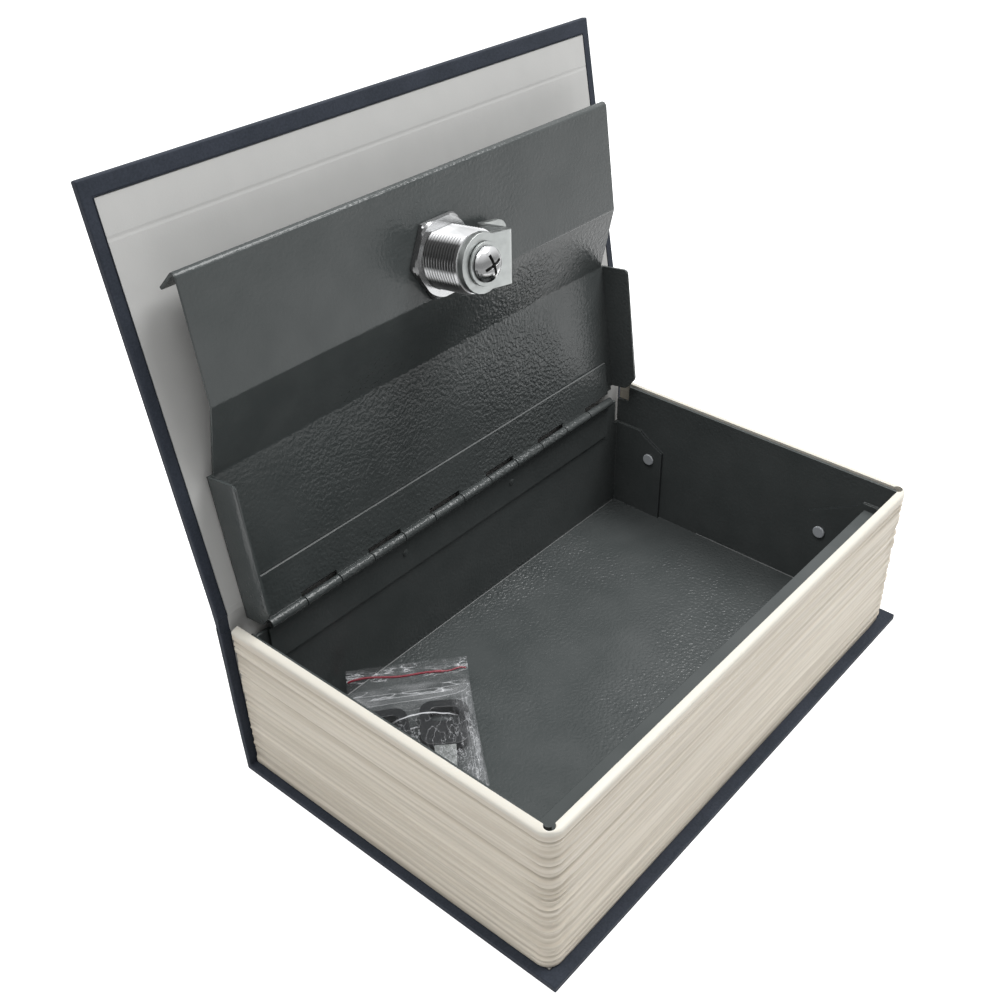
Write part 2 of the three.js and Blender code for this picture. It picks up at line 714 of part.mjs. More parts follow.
function makeLockWafer(top) {
  const outer = plate(-wafer.width / 2, wafer.width / 2, -wafer.height / 2, wafer.height / 2,
    top - wafer.thickness, top);
  const window = plate(-keyway.width, keyway.width, -wafer.window / 2, wafer.window / 2,
    headTop - keyway.depth, headTop);
  return cut(outer, window);
}

// The cam is cranked: a plate under the barrel, a riser and a foot that runs out under the ledge.
function makeLockCam() {
  const line = [
    new THREE.Vector2(0, camTop),
    new THREE.Vector2(camBend, camTop),
    new THREE.Vector2(camBend, camTop + camCrank),
    new THREE.Vector2(camReach, camTop + camCrank),
  ];
  const bends = [camBendRadius - camThickness + turnGap, camBendRadius];
  const profile = new THREE.Shape(sheetOutline(line, bends, camThickness));
  const upright = new THREE.Matrix4().makeBasis(
    new THREE.Vector3(1, 0, 0), new THREE.Vector3(0, 0, 1), new THREE.Vector3(0, -1, 0));
  const strap = place(extruded(profile, camWidth).applyMatrix4(upright), 0, camWidth / 2, 0);
  const plan = prismZ(roundedRectangle(-camHubRadius, camReach, -camWidth / 2, camWidth / 2, camShoulder),
    camBottom - overrun, camTop + camCrank + overrun);
  const hub = barZ(camHubRadius, 0, 0, camBottom, camTop);
  const room = tail.size / 2 + tail.play;
  const square = plate(-room, room, -room, room, camBottom - overrun, camTop + overrun);
  return cut(solid(strap).intersect(solid(plan)).add(solid(hub)), square);
}

function makeCamWasher() {
  const disc = barZ(washer.radius, 0, 0, washerTop - washer.thickness, washerTop);
  const hole = barZ(screw.shank + turnGap, 0, 0, washerTop - washer.thickness - overrun, washerTop + overrun);
  return cut(disc, hole);
}

// A pan-head screw, head down, with a cross recess.
function makeCamScrew() {
  const profile = [[0, screwTop - screw.dome]];
  for (let k = 1; k <= bendSteps; k += 1) {
    const angle = (k / bendSteps) * (Math.PI / 2);
    profile.push([screw.head * Math.sin(angle), screwTop - screw.dome * Math.cos(angle)]);
  }
  profile.push([screw.shank, screwTop], [screw.shank, screwTop + screw.length], [0, screwTop + screw.length]);
  const low = screwTop - screw.dome;
  const half = screw.slot / 2;
  const across = plate(-screw.recess, screw.recess, -half, half, low - overrun, low + screw.depth);
  const along = plate(-half, half, -screw.recess, screw.recess, low - overrun, low + screw.depth);
  return cut(turned(profile), across, along);
}

// Key bag, in its own frame: zero height is its underside, and its mouth looks to +Y

const bagMiddle = (bag.left + bag.right) / 2;
const bagHalfWidth = (bag.right - bag.left) / 2;
const bagLength = bag.top - bag.bottom;

// A pillow with flat seams: fullest in the middle, with its mouth lifted off the floor.
function bagSkin(inset, from, to) {
  const stations = bendSteps * 3;
  const rings = [];
  for (let k = 0; k <= stations; k += 1) {
    const along = from + ((to - from) * (1 - Math.cos((Math.PI * k) / stations))) / 2;
    const share = Math.min(1, Math.max(0, (along - bag.bottom) / bagLength));
    const fullShare = Math.sin(Math.PI * share) ** bagFullnessPower;
    const half = bagEdgeHalfHeight + (bagHalfHeight - bagEdgeHalfHeight) * fullShare - inset;
    const middle = bagHalfHeight + bagMouthRise * share ** bagMouthPower;
    const ring = [];
    for (let i = 0; i < roundSteps; i += 1) {
      const angle = (i / roundSteps) * Math.PI * 2;
      const across = Math.sign(Math.sin(angle)) * Math.sqrt(Math.abs(Math.sin(angle)));
      const up = Math.sign(Math.cos(angle)) * Math.sqrt(Math.abs(Math.cos(angle)));
      ring.push(new THREE.Vector3(bagMiddle + (bagHalfWidth - inset) * across, along, middle + half * up));
    }
    rings.push(ring);
  }
  return lofted(rings);
}

function makeKeyBag() {
  return cut(bagSkin(0, bag.bottom, bag.top), bagSkin(bagWall, bag.bottom + bagWall, bag.top + overrun));
}

// A key lies flat: zero is where the blade leaves the bow, and the bow runs to +Y.
function makeKeyBow() {
  const { width, height, thickness, corner, hole, frame } = keyBow;
  const outer = prismZ(roundedRectangle(-width / 2, width / 2, 0, height, corner),
    -thickness / 2, thickness / 2);
  const window = prismZ(roundedRectangle(-width / 2 + frame, width / 2 - frame, height - frame - hole,
    height - frame, corner - frame + overrun), -thickness, thickness);
  const half = keyBlade.width / 2 + keyBlade.play;
  const depth = keyBlade.thickness / 2 + keyBlade.play;
  const room = plate(-half, half, -overrun, keyBlade.root + keyBlade.play, -depth, depth);
  return cut(outer, window, room);
}

// The blade has a pointed tip and cuts along one edge.
function makeKeyBlade() {
  const { width, thickness, length, root, cut: depth, cuts } = keyBlade;
  const half = width / 2;
  const step = length / (cuts + 2);
  const outline = [[half, root], [-half, root], [-half, -step]];
  for (let k = 1; k <= cuts; k += 1) {
    for (const share of keyCutShares) {
      outline.push([depth - half, -step * (k + share)]);
    }
    outline.push([-half, -step * (k + 1)]);
  }
  outline.push([0, -length], [half, half - length]);
  return prismZ(outline.map(([x, y]) => new THREE.Vector2(x, y)), -thickness / 2, thickness / 2);
}

// Assembly

function group(x, y, z, ...pieces) {
  const holder = new THREE.Group();
  holder.position.set(x, y, z);
  holder.add(...pieces);
  return holder;
}

const cover = group(0, jointDepth, jointHeight,
  bookCloth('cover_joint', barX(jointRadius, -halfLength, halfLength, 0, 0)),
  bookCloth('cover_cloth', makeCoverCloth()),
  greyBoard('cover_board', makeCoverBoard()),
  greyPaper('cover_endpaper', makeCoverEndpaper()));
cover.rotation.x = -coverOpenAngle * degree;

const plug = group(0, 0, 0,
  chrome('lock_plug', makeLockPlug()),
  ...waferTops.map((top, k) => brass(`lock_wafer_${k + 1}`, makeLockWafer(top))),
  brightSteel('lock_cam', makeLockCam()),
  brightSteel('cam_washer', makeCamWasher()),
  chrome('cam_screw', makeCamScrew()));
plug.rotation.z = camRestAngle * degree;

const lock = group(lockAcross, -lockAlong, lockUnderside,
  chrome('lock_body', makeLockBody()),
  brightSteel('lock_nut', makeLockNut()),
  plug);

const lid = group(0, hingeDepth, hingeHeight,
  darkSteel('steel_lid', makeLid()),
  darkSteel('hinge_lid_leaf', leafAboutPin(0)),
  lock);
lid.rotation.x = -lidOpenAngle * degree;

const keyBag = group(bag.side - boxInnerHalf, boxInnerBack - bag.back, boxFloor + bagFloorGap,
  clearFilm('key_bag', makeKeyBag()));
keyBag.rotation.z = bag.turn * degree;
for (const { name, x, y, turn } of keyPlaces) {
  const key = group(x, y - keyBow.height / 2, keyHeight,
    blackPlastic(`${name}_bow`, makeKeyBow()),
    brightSteel(`${name}_blade`, makeKeyBlade()));
  key.rotation.z = turn * degree;
  keyBag.add(key);
}

const bookSafe = group(0, 0, 0,
  bookCloth('case_cloth', makeCaseCloth()),
  greyBoard('bottom_board', makeBottomBoard()),
  greyPaper('bottom_endpaper', makeBottomEndpaper()),
  greyBoard('spine_board', makeSpineBoard()),
  greyPaper('spine_liner', makeSpineLiner()),
  ivoryPlastic('page_block', makePageBlock()),
  darkSteel('steel_box', makeSteelBox()),
  ...rivetPlaces.map(({ name, side, y }) => brightSteel(name, makeBoxRivet(side, y))),
  darkSteel('hinge_box_leaf', makeBoxLeaf()),
  brightSteel('leaf_rivet_left', makeLeafRivet(-1)),
  brightSteel('leaf_rivet_right', makeLeafRivet(1)),
  darkSteel('hinge_pin', makeHingePin()),
  cover,
  lid,
  keyBag);

export default bookSafe;
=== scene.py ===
# %% [markdown]
# # A hollow book with a steel cash box inside
# The CAD model gives this object its sizes and its moving bodies. This lesson dresses it in
# Blender: cloth boards, a moulded block that looks like page edges, a powder coated steel
# box, a cam lock and a small bag of keys. Everything is in metres, in the CAD model's frame.

# %% Load the frame
import bpy, bmesh, json, math
from mathutils import Matrix, Vector, noise


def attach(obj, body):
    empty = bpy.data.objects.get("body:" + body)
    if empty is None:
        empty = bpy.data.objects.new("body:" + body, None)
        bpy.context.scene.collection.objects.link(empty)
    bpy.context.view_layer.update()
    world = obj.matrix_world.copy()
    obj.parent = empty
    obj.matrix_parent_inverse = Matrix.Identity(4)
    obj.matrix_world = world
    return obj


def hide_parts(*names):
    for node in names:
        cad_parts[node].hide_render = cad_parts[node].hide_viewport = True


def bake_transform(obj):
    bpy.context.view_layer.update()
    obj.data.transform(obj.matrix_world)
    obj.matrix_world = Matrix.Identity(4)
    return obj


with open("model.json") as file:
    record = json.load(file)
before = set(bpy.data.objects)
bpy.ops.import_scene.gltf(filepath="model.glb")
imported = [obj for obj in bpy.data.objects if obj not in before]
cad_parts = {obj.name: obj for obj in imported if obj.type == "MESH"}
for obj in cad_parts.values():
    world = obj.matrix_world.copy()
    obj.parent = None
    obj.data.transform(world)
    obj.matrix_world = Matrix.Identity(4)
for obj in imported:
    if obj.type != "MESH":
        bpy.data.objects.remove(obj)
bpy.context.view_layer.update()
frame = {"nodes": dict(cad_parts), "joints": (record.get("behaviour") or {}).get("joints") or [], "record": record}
nodes = frame["nodes"]
nodes_of_body = frame["record"]["behaviour"]["bodies"]
body_of_node = {name: body for body, names in nodes_of_body.items() for name in names}
MM = 0.001

# %% [markdown]
# A material is a small graph of nodes. The first helper adds one node, sets its fields and
# plugs values or other sockets into its inputs. The others build on it, so that each finish
# below reads as a recipe: a grain, a change of range, a fade along an axis, a sum, a tint
# between two colours and a raised surface.

# %% Helpers for material nodes
def add_node(tree, kind, inputs=None, **fields):
    made = tree.nodes.new(kind)
    for key, value in fields.items():
        setattr(made, key, value)
    for key, value in (inputs or {}).items():
        if isinstance(value, bpy.types.NodeSocket):
            tree.links.new(value, made.inputs[key])
        else:
            made.inputs[key].default_value = value
    return made

def new_finish(name, color, roughness, metallic=0.0):
    material = bpy.data.materials.new(name)
    material.use_nodes = True
    tree = material.node_tree
    shader = tree.nodes["Principled BSDF"]
    shader.inputs["Base Color"].default_value = (*color, 1)
    shader.inputs["Roughness"].default_value = roughness
    shader.inputs["Metallic"].default_value = metallic
    position = add_node(tree, "ShaderNodeTexCoord").outputs["Object"]
    print("finish", name)
    return material, tree, shader, position

def axes(tree, vector):
    return add_node(tree, "ShaderNodeSeparateXYZ", {"Vector": vector}).outputs

def grain(tree, position, size, detail=2.0, stretch=(1, 1, 1)):
    scaled = add_node(tree, "ShaderNodeMapping", {"Vector": position, "Scale": stretch}).outputs["Vector"]
    noise_inputs = {"Vector": scaled, "Scale": 1 / size, "Detail": detail}
    return add_node(tree, "ShaderNodeTexNoise", noise_inputs).outputs["Fac"]

def spread(tree, value, low, high, to_low, to_high):
    ranges = {"Value": value, "From Min": low, "From Max": high, "To Min": to_low, "To Max": to_high}
    return add_node(tree, "ShaderNodeMapRange", ranges).outputs["Result"]

def fade(tree, place, start, end, at_start, at_end):
    """A strength that changes between two places on an axis, given in millimetres."""
    return spread(tree, place, start * MM, end * MM, at_start, at_end)

def calc(tree, operation, first, second=0.0, clamp=False):
    inputs = {0: first, 1: second}
    return add_node(tree, "ShaderNodeMath", inputs, operation=operation, use_clamp=clamp).outputs[0]

def tint(tree, shader, fac, dark, light):
    mix = add_node(tree, "ShaderNodeMix", {"Factor": fac}, data_type="RGBA")
    mix.inputs[6].default_value = (*dark, 1)
    mix.inputs[7].default_value = (*light, 1)
    tree.links.new(mix.outputs[2], shader.inputs["Base Color"])
    return mix.outputs[2]

def raise_surface(tree, shader, height, depth, strength=1.0, under=None):
    bump = add_node(tree, "ShaderNodeBump", {"Height": height, "Distance": depth, "Strength": strength})
    if under is not None:
        tree.links.new(under, bump.inputs["Normal"])
    tree.links.new(bump.outputs["Normal"], shader.inputs["Normal"])
    return bump.outputs["Normal"]

# %% [markdown]
# Book cloth is a tight weave sized with starch and dyed a very dark navy. A regular weave could
# be drawn, but at this distance a thread is thinner than a pixel and it would shimmer, so a
# fine noise stands for the threads. The same noise and a broader one make the dye uneven.

# %% Book cloth
book_cloth, tree, shader, position = new_finish("book_cloth", (0.012, 0.013, 0.019), 0.78)
shader.inputs["Specular IOR Level"].default_value = 0.28
threads = grain(tree, position, 0.6 * MM, 3.0)
raise_surface(tree, shader, threads, 0.08 * MM, 0.7)
patchy = spread(tree, grain(tree, position, 9 * MM, 3.0), 0.3, 0.7, 0, 0.5)
dye = calc(tree, "ADD", patchy, spread(tree, threads, 0.35, 0.65, 0, 0.5))
tint(tree, shader, dye, (0.010, 0.014, 0.021), (0.022, 0.027, 0.039))

# %% [markdown]
# The boards are lined with light grey paper. Paper is matt and very slightly mottled. It has a
# fine tooth, and long soft wrinkles where the paste pulled it, so one bump is laid on another.
# Raw grey board shows nowhere from outside, but it gets its own fibrous finish.

# %% Lining paper and raw board
lining_paper, tree, shader, position = new_finish("lining_paper", (0.41, 0.41, 0.40), 0.8)
mottle = spread(tree, grain(tree, position, 7 * MM, 4.0), 0.25, 0.75, 0, 1)
tint(tree, shader, mottle, (0.397, 0.397, 0.389), (0.412, 0.412, 0.403))
tooth = raise_surface(tree, shader, grain(tree, position, 0.5 * MM, 3.0), 0.03 * MM, 0.6)
wrinkles = grain(tree, position, 14 * MM, 2.0, (1, 1, 0.4))
raise_surface(tree, shader, wrinkles, 0.6 * MM, 0.4, tooth)

raw_board, tree, shader, position = new_finish("raw_board", (0.25, 0.23, 0.19), 0.9)
fibres = grain(tree, position, 1.2 * MM, 4.0, (1, 3, 3))
tint(tree, shader, fibres, (0.20, 0.18, 0.15), (0.31, 0.28, 0.24))
raise_surface(tree, shader, fibres, 0.05 * MM)

# %% [markdown]
# The false pages are moulded in ivory plastic. The ridged faces look a little browner than
# the smooth rim above them, as real page edges would, so the colour changes with the height.
# Long thin noise lays faint level bands over the pages.

# %% Ivory plastic
pages_top = 49.6 * MM
rim_start, rim_full = pages_top + 1.3 * MM, pages_top + 2.2 * MM
ivory_plastic, tree, shader, position = new_finish("ivory_plastic", (0.70, 0.66, 0.57), 0.5)
bands = spread(tree, grain(tree, position, 1.3 * MM, 2.0, (0.02, 0.02, 1)), 0.38, 0.62, 0, 1)
paged = tint(tree, shader, bands, (0.445, 0.400, 0.330), (0.560, 0.512, 0.432))
on_rim = spread(tree, axes(tree, position)["Z"], rim_start, rim_full, 0, 1)
rim_mix = add_node(tree, "ShaderNodeMix", {"Factor": on_rim}, data_type="RGBA")
tree.links.new(paged, rim_mix.inputs[6])
rim_mix.inputs[7].default_value = (0.52, 0.50, 0.445, 1)
tree.links.new(rim_mix.outputs[2], shader.inputs["Base Color"])
shader.inputs["Subsurface Weight"].default_value = 0.06
shader.inputs["Subsurface Radius"].default_value = (0.002, 0.0015, 0.001)
shader.inputs["Subsurface Scale"].default_value = 0.5

# %% [markdown]
# The steel wears a dark grey textured powder coat. It flows into low rounded bumps, about a
# millimetre apart, before it sets, which gives the broken highlights near the hinge. A noise
# with its tops and bottoms flattened makes the bumps. One strength all over would look like
# leather, so five masks change it from place to place. The bumps are weak in broad patches,
# towards the left end, away from the hinge, on the walls of the box and on the lid's lock
# panel, and stronger on the floor of the box and at the lid's front bend. The colour is cloudy,
# and a painted light makes it a little lighter to the right. Some cut edges and folds get a
# paler coat, which is painted light.

# %% Powder coat
powder_coat, tree, shader, position = new_finish("powder_coat", (0.050, 0.056, 0.057), 0.25)
shader.inputs["Specular IOR Level"].default_value = 0.28
where = axes(tree, position)
patches = spread(tree, grain(tree, position, 45 * MM, 1.0), 0.40, 0.58, 0.35, 1)
left_end = fade(tree, where["X"], -70, 40, 0.35, 1)
far_from_hinge = fade(tree, where["Y"], 40, 52, 0.4, 1)
floor_bumps = fade(tree, where["Z"], 3.5, 6, 1.3, 0)
wall_bumps = calc(tree, "ADD", floor_bumps, fade(tree, where["Z"], 44, 50, 0.35, 1))
bend_bumps = fade(tree, where["Z"], 146.5, 149, 0, 0.3)
panel_bumps = calc(tree, "ADD", fade(tree, where["Z"], 111, 121, 1, 0.3), bend_bumps)
relief = spread(tree, grain(tree, position, 1.05 * MM, 1.0), 0.34, 0.66, 0, 1)
for mask in (patches, left_end, far_from_hinge, wall_bumps, panel_bumps):
    relief = calc(tree, "MULTIPLY", relief, mask)
raise_surface(tree, shader, relief, 0.2 * MM)
clouds = spread(tree, grain(tree, position, 14 * MM), 0.3, 0.7, 0, 0.4)
# The fade along X is painted light that makes the coat lighter to the right; the clouds are the coat's own uneven
# tone.
uneven = calc(tree, "ADD", clouds, fade(tree, where["X"], -80, 80, 0, 0.6))
tint(tree, shader, uneven, (0.038, 0.044, 0.044), (0.066, 0.072, 0.072))

# This paler coat is painted light: highlights on cut edges and folds, and shade lifted off the lower edge of the
# box's hinge leaf.
painted_highlight_coat, tree, shader, position = new_finish("painted_highlight_coat", (0.125, 0.13, 0.13), 0.42)
raise_surface(tree, shader, grain(tree, position, 1.0 * MM), 0.08 * MM)

# %% [markdown]
# Plated parts are plain metals that differ in polish. A long thin noise makes the faint
# rolling lines of sheet steel, and a second noise an uneven polish.

# %% Plain metals
def plated(name, color, roughness, line_depth):
    material, tree, shader, position = new_finish(name, color, roughness, 1.0)
    polish = spread(tree, grain(tree, position, 2 * MM), 0.3, 0.7, roughness * 0.8, roughness * 1.3)
    tree.links.new(polish, shader.inputs["Roughness"])
    raise_surface(tree, shader, grain(tree, position, 0.4 * MM, 3.0, (0.08, 1, 1)), line_depth)
    return material, tree, shader

bright_steel = plated("bright_steel", (0.33, 0.345, 0.34), 0.38, 0.02 * MM)[0]
# The next finish is painted shade, for the inside of the screw's cross recess.
painted_recess_shade = plated("painted_recess_shade", (0.10, 0.10, 0.10), 0.5, 0.02 * MM)[0]
wafer_brass = plated("wafer_brass", (0.62, 0.45, 0.17), 0.3, 0.02 * MM)[0]

# %% [markdown]
# The chrome of the lock mirrors a bright ceiling, a dark room and a bright table. A room could
# be built for it to mirror, but the look would then hang on that room. So the reflection is
# painted into its colour, which changes in bands with the way that the surface faces: for most
# of it by how far it faces up, for the barrel by the angle round its axis, and for the nut from side to side.

# %% Banded chrome
def painted_reflection_plating(name, measure, stops, metallic):
    """Plating whose colour is a painted reflection: it follows a number from -1 to 1, found from the way the
    surface faces.
    """
    material, tree, shader = plated(name, (0.80, 0.81, 0.83), 0.20, 0.01 * MM)
    shader.inputs["Metallic"].default_value = metallic
    facing = add_node(tree, "ShaderNodeTexCoord").outputs["Normal"]
    measured = spread(tree, measure(tree, axes(tree, facing)), -1, 1, 0, 1)
    bands = add_node(tree, "ShaderNodeValToRGB", {"Fac": measured})
    elements = bands.color_ramp.elements
    stops_at_first = len(elements)
    for k, (level, shade) in enumerate(stops):
        share = (level + 1) / 2
        element = elements[k] if k < stops_at_first else elements.new(share)
        element.position = share
        element.color = (shade, shade * 1.01, shade * 1.02, 1)
    tree.links.new(bands.outputs["Color"], shader.inputs["Base Color"])
    return material

def facing_up(tree, way):
    return way["Z"]

def facing_right(tree, way):
    return way["X"]

def round_the_barrel(tree, way):
    """How far round from the top, in half turns; the flanks of the thread shift it a little."""
    turned = calc(tree, "ARCTAN2", calc(tree, "MULTIPLY", way["X"], -1.0), way["Z"])
    flank_shift = calc(tree, "MULTIPLY", way["Y"], 0.05)
    return calc(tree, "ADD", calc(tree, "MULTIPLY", turned, 1 / math.pi), flank_shift)

# The chrome's bands of colour are a painted reflection.
chrome = painted_reflection_plating("chrome_painted_reflection", facing_up, (
    (-0.55, 0.08), (-0.34, 0.42), (-0.16, 0.60), (-0.04, 0.14), (0.32, 0.22), (0.62, 0.66), (0.95, 0.80),
), 1.0)
barrel_painted_reflection = painted_reflection_plating("barrel_painted_reflection", round_the_barrel, (
    (-0.40, 0.30), (-0.20, 0.70), (0.10, 0.85), (0.16, 0.04), (0.39, 0.02), (0.43, 0.60), (0.50, 0.50),
    (0.55, 0.05), (0.64, 0.12), (0.80, 0.28),
), 0.35)
nut_painted_reflection = painted_reflection_plating("nut_painted_reflection", facing_right, (
    (-0.50, 0.14), (-0.30, 0.12), (-0.14, 0.55), (0.10, 0.42), (0.60, 0.30),
), 0.8)

# %% [markdown]
# The bag is clear polythene. It shows only by the white glints on its creases, and by a faint
# haze where the film is crumpled. Real refraction would need many bounces of light for so thin
# a film, so it is a pale glossy plastic that is nearly all see-through, and it is more solid
# only on the painted highlights that stand for its glints. Each set of glints is the level lines
# of a noise that is drawn out one way: along the mouth just below the zip, and down the side of
# the bag. The pattern is laid out on the bag's own axes, which a Mapping node turns it to, and a
# mask says where each set runs.

# %% Place of the bag
bag_middle = Vector((-55.4, 24.9, 3.3)) * MM
bag_turn = math.radians(-40)
bag_frame = Matrix.Translation(bag_middle) @ Matrix.Rotation(bag_turn, 4, "Z")
print("bag turned", round(math.degrees(bag_turn)), "degrees")

# %% Creases of the film
def crease_lines(tree, vector, size, stretch, width, detail=3.0):
    """Thin lines where a noise passes through its middle value."""
    height = grain(tree, vector, size, detail, stretch)
    return spread(tree, calc(tree, "ABSOLUTE", calc(tree, "SUBTRACT", height, 0.5)), 0, width, 1, 0)

clear_film, tree, shader, position = new_finish("clear_film", (0.62, 0.63, 0.65), 0.18)
to_bag = {"Vector": position, "Location": bag_middle, "Rotation": (0, 0, bag_turn)}
on_bag = add_node(tree, "ShaderNodeMapping", to_bag, vector_type="TEXTURE").outputs["Vector"]
place = axes(tree, on_bag)
across, along = place["X"], place["Y"]

# These lines are painted highlights: where they run, the pale film shows more solid.
mouth_glints = crease_lines(tree, on_bag, 2.0 * MM, (0.02, 1, 1), 0.030, 0.5)
mouth_start = fade(tree, along, 11.5, 13, 0, 1)
mouth_zone = calc(tree, "MULTIPLY", mouth_start, fade(tree, along, 17.5, 18.5, 1, 0.1))
side_glints = crease_lines(tree, on_bag, 1.9 * MM, (1, 0.03, 1), 0.026, 0.5)
side_start = fade(tree, across, 13, 17, 0.05, 1)
side_zone = calc(tree, "MULTIPLY", side_start, fade(tree, along, 11, 14, 1, 0.1))
crumple_glints = crease_lines(tree, on_bag, 3.0 * MM, (1, 0.5, 1), 0.014)
crumple_zone = fade(tree, along, 2, 6, 0.7, 0.05)
lip_glints = crease_lines(tree, on_bag, 0.9 * MM, (0.2, 1, 1), 0.05)
lip_broken = spread(tree, grain(tree, on_bag, 8 * MM), 0.44, 0.56, 0.05, 1)
lip_fade = calc(tree, "MULTIPLY", fade(tree, along, 22.8, 23.6, 1, 0.25), lip_broken)
lip_zone = calc(tree, "MULTIPLY", fade(tree, along, 21.5, 22.0, 0, 1), lip_fade)

# %% [markdown]
# One more painted glint is an arch over the bows of the keys, where the film is stretched over
# them. It is a parabola on the bag's axes. All painted glints and the haze are added up to the
# film's alpha.

# %% Clear film
# The arch is a painted highlight too.
arch_middle, arch_top, arch_curve = 5 * MM, 6.5 * MM, 26.0
bow_x = calc(tree, "SUBTRACT", across, arch_middle)
arch_drop = calc(tree, "MULTIPLY", calc(tree, "MULTIPLY", bow_x, bow_x), arch_curve)
arch = calc(tree, "SUBTRACT", arch_top, arch_drop)
arch_far = calc(tree, "ABSOLUTE", calc(tree, "SUBTRACT", along, arch))
arch_reach = fade(tree, calc(tree, "ABSOLUTE", bow_x), 6, 10, 1, 0)
film = calc(tree, "MULTIPLY", fade(tree, arch_far, 0.12, 0.4, 0.7, 0), arch_reach)
for lines, zone, strength in ((mouth_glints, mouth_zone, 0.38), (side_glints, side_zone, 0.24),
                              (crumple_glints, crumple_zone, 0.5), (lip_glints, lip_zone, 0.8)):
    film = calc(tree, "ADD", film, calc(tree, "MULTIPLY", lines, calc(tree, "MULTIPLY", zone, strength)))
haze_zone = calc(tree, "MAXIMUM", mouth_zone, calc(tree, "MULTIPLY", side_zone, 0.5))
haze_grain = spread(tree, grain(tree, on_bag, 6 * MM, 2.0, (0.3, 1, 1)), 0.42, 0.62, 0.02, 0.14)
haze = calc(tree, "MULTIPLY", haze_zone, haze_grain)
bare_film = 0.018
alpha = calc(tree, "ADD", calc(tree, "ADD", film, haze), bare_film, True)
tree.links.new(alpha, shader.inputs["Alpha"])
raise_surface(tree, shader, grain(tree, on_bag, 2.2 * MM, 3.0, (0.5, 0.5, 1)), 0.3 * MM, 0.5)

# %% [markdown]
# The zip is a line of red plastic welded to the film, and it lets a little light through. The
# bows of the keys are moulded in glossy black plastic with a faint grain.

# %% Zip and black plastic
zip_red, tree, shader, position = new_finish("zip_red", (0.22, 0.020, 0.035), 0.35)
raise_surface(tree, shader, grain(tree, position, 1.5 * MM), 0.1 * MM)
shader.inputs["Alpha"].default_value = 0.85

black_plastic, tree, shader, position = new_finish("black_plastic", (0.008, 0.009, 0.010), 0.3)
raise_surface(tree, shader, grain(tree, position, 0.6 * MM), 0.02 * MM, 0.5)

# %% [markdown]
# Each slot of the CAD model now gets its finish. The CAD solids get it too, because some of
# them, such as the wafers in the lock, are shown as they are.

# %% Finishes of the slots
finish_of_slot = {
    "book_cloth": book_cloth, "grey_board": raw_board, "grey_paper": lining_paper,
    "ivory_plastic": ivory_plastic, "dark_painted_steel": powder_coat, "bright_steel": bright_steel,
    "chrome": chrome, "brass": wafer_brass, "clear_film": clear_film, "black_plastic": black_plastic,
}
slot_of_node = {entry["node"]: entry["material_slot"] for entry in frame["record"]["subparts"]}
for name, piece in nodes.items():
    piece.data.materials.clear()
    piece.data.materials.append(finish_of_slot[slot_of_node[name]])
print("finishes", len(finish_of_slot))

# %% [markdown]
# Every new piece ends the same way: its bmesh becomes an object at the origin, is shaded
# smooth with crisp edges kept, rides on its body, and stands for the CAD nodes it replaces.
# The other helpers round its edges with a bevel, lay a grid out over a surface, draw an
# outline out along X, and add a round rod.

# %% Helpers that make and finish a piece
def finished(name, bm, body, slot, replaces=(), crisp=32, closed=True, finish=None):
    if closed:
        bmesh.ops.remove_doubles(bm, verts=bm.verts, dist=0.001 * MM)
        bmesh.ops.recalc_face_normals(bm, faces=bm.faces)
    mesh = bpy.data.meshes.new(name)
    bm.to_mesh(mesh)
    bm.free()
    mesh.shade_smooth()
    mesh.set_sharp_from_angle(angle=math.radians(crisp))
    piece = bpy.data.objects.new(name, mesh)
    bpy.context.scene.collection.objects.link(piece)
    mesh.materials.append(finish or finish_of_slot[slot])
    if body:
        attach(piece, body)
    if replaces:
        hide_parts(*replaces)
    print("made", name, "with", len(mesh.polygons), "faces")
    return piece

def add_bevel(piece, width, segments=2):
    bevel = piece.modifiers.new("Edge rounding", "BEVEL")
    bevel.width = width
    bevel.segments = segments
    bevel.limit_method = "ANGLE"
    bevel.angle_limit = math.radians(35)
    bevel.use_clamp_overlap = False
    bevel.harden_normals = True

def mapped_grid(bm, columns, rows, place):
    """A grid of columns by rows faces, each vertex put where place(column, row) says."""
    made = bmesh.ops.create_grid(bm, x_segments=columns, y_segments=rows, size=0.5)["verts"]
    for vert in made:
        vert.co = place(round((vert.co.x + 0.5) * columns), round((vert.co.y + 0.5) * rows))

def prism(bm, outline, x0, x1):
    """Draws an outline of (y, z) points out from x0 to x1."""
    start = bm.faces.new([bm.verts.new((x0, y, z)) for y, z in outline])
    made = bmesh.ops.extrude_face_region(bm, geom=[start], use_keep_orig=True)["geom"]
    moved = [item for item in made if isinstance(item, bmesh.types.BMVert)]
    bmesh.ops.translate(bm, vec=(x1 - x0, 0, 0), verts=moved)

def rod(bm, radius, length, segments, axis, place):
    """A round rod that is made upright, turned a quarter about an axis and moved to a place."""
    shape = bmesh.ops.create_cone(bm, cap_ends=True, segments=segments, radius1=radius, radius2=radius,
                                  depth=length)
    turn = Matrix.Rotation(math.pi / 2, 4, axis)
    bmesh.ops.transform(bm, matrix=Matrix.Translation(place) @ turn, verts=shape["verts"])

# %% [markdown]
# The cover's paper is drawn as it lies on a closed book and then opened about the cover's
# hinge line. The parts of the lock are drawn upright and then carried to the lock's axis. Both
# frames take their places from the joints, so that the new pieces are built where they belong.

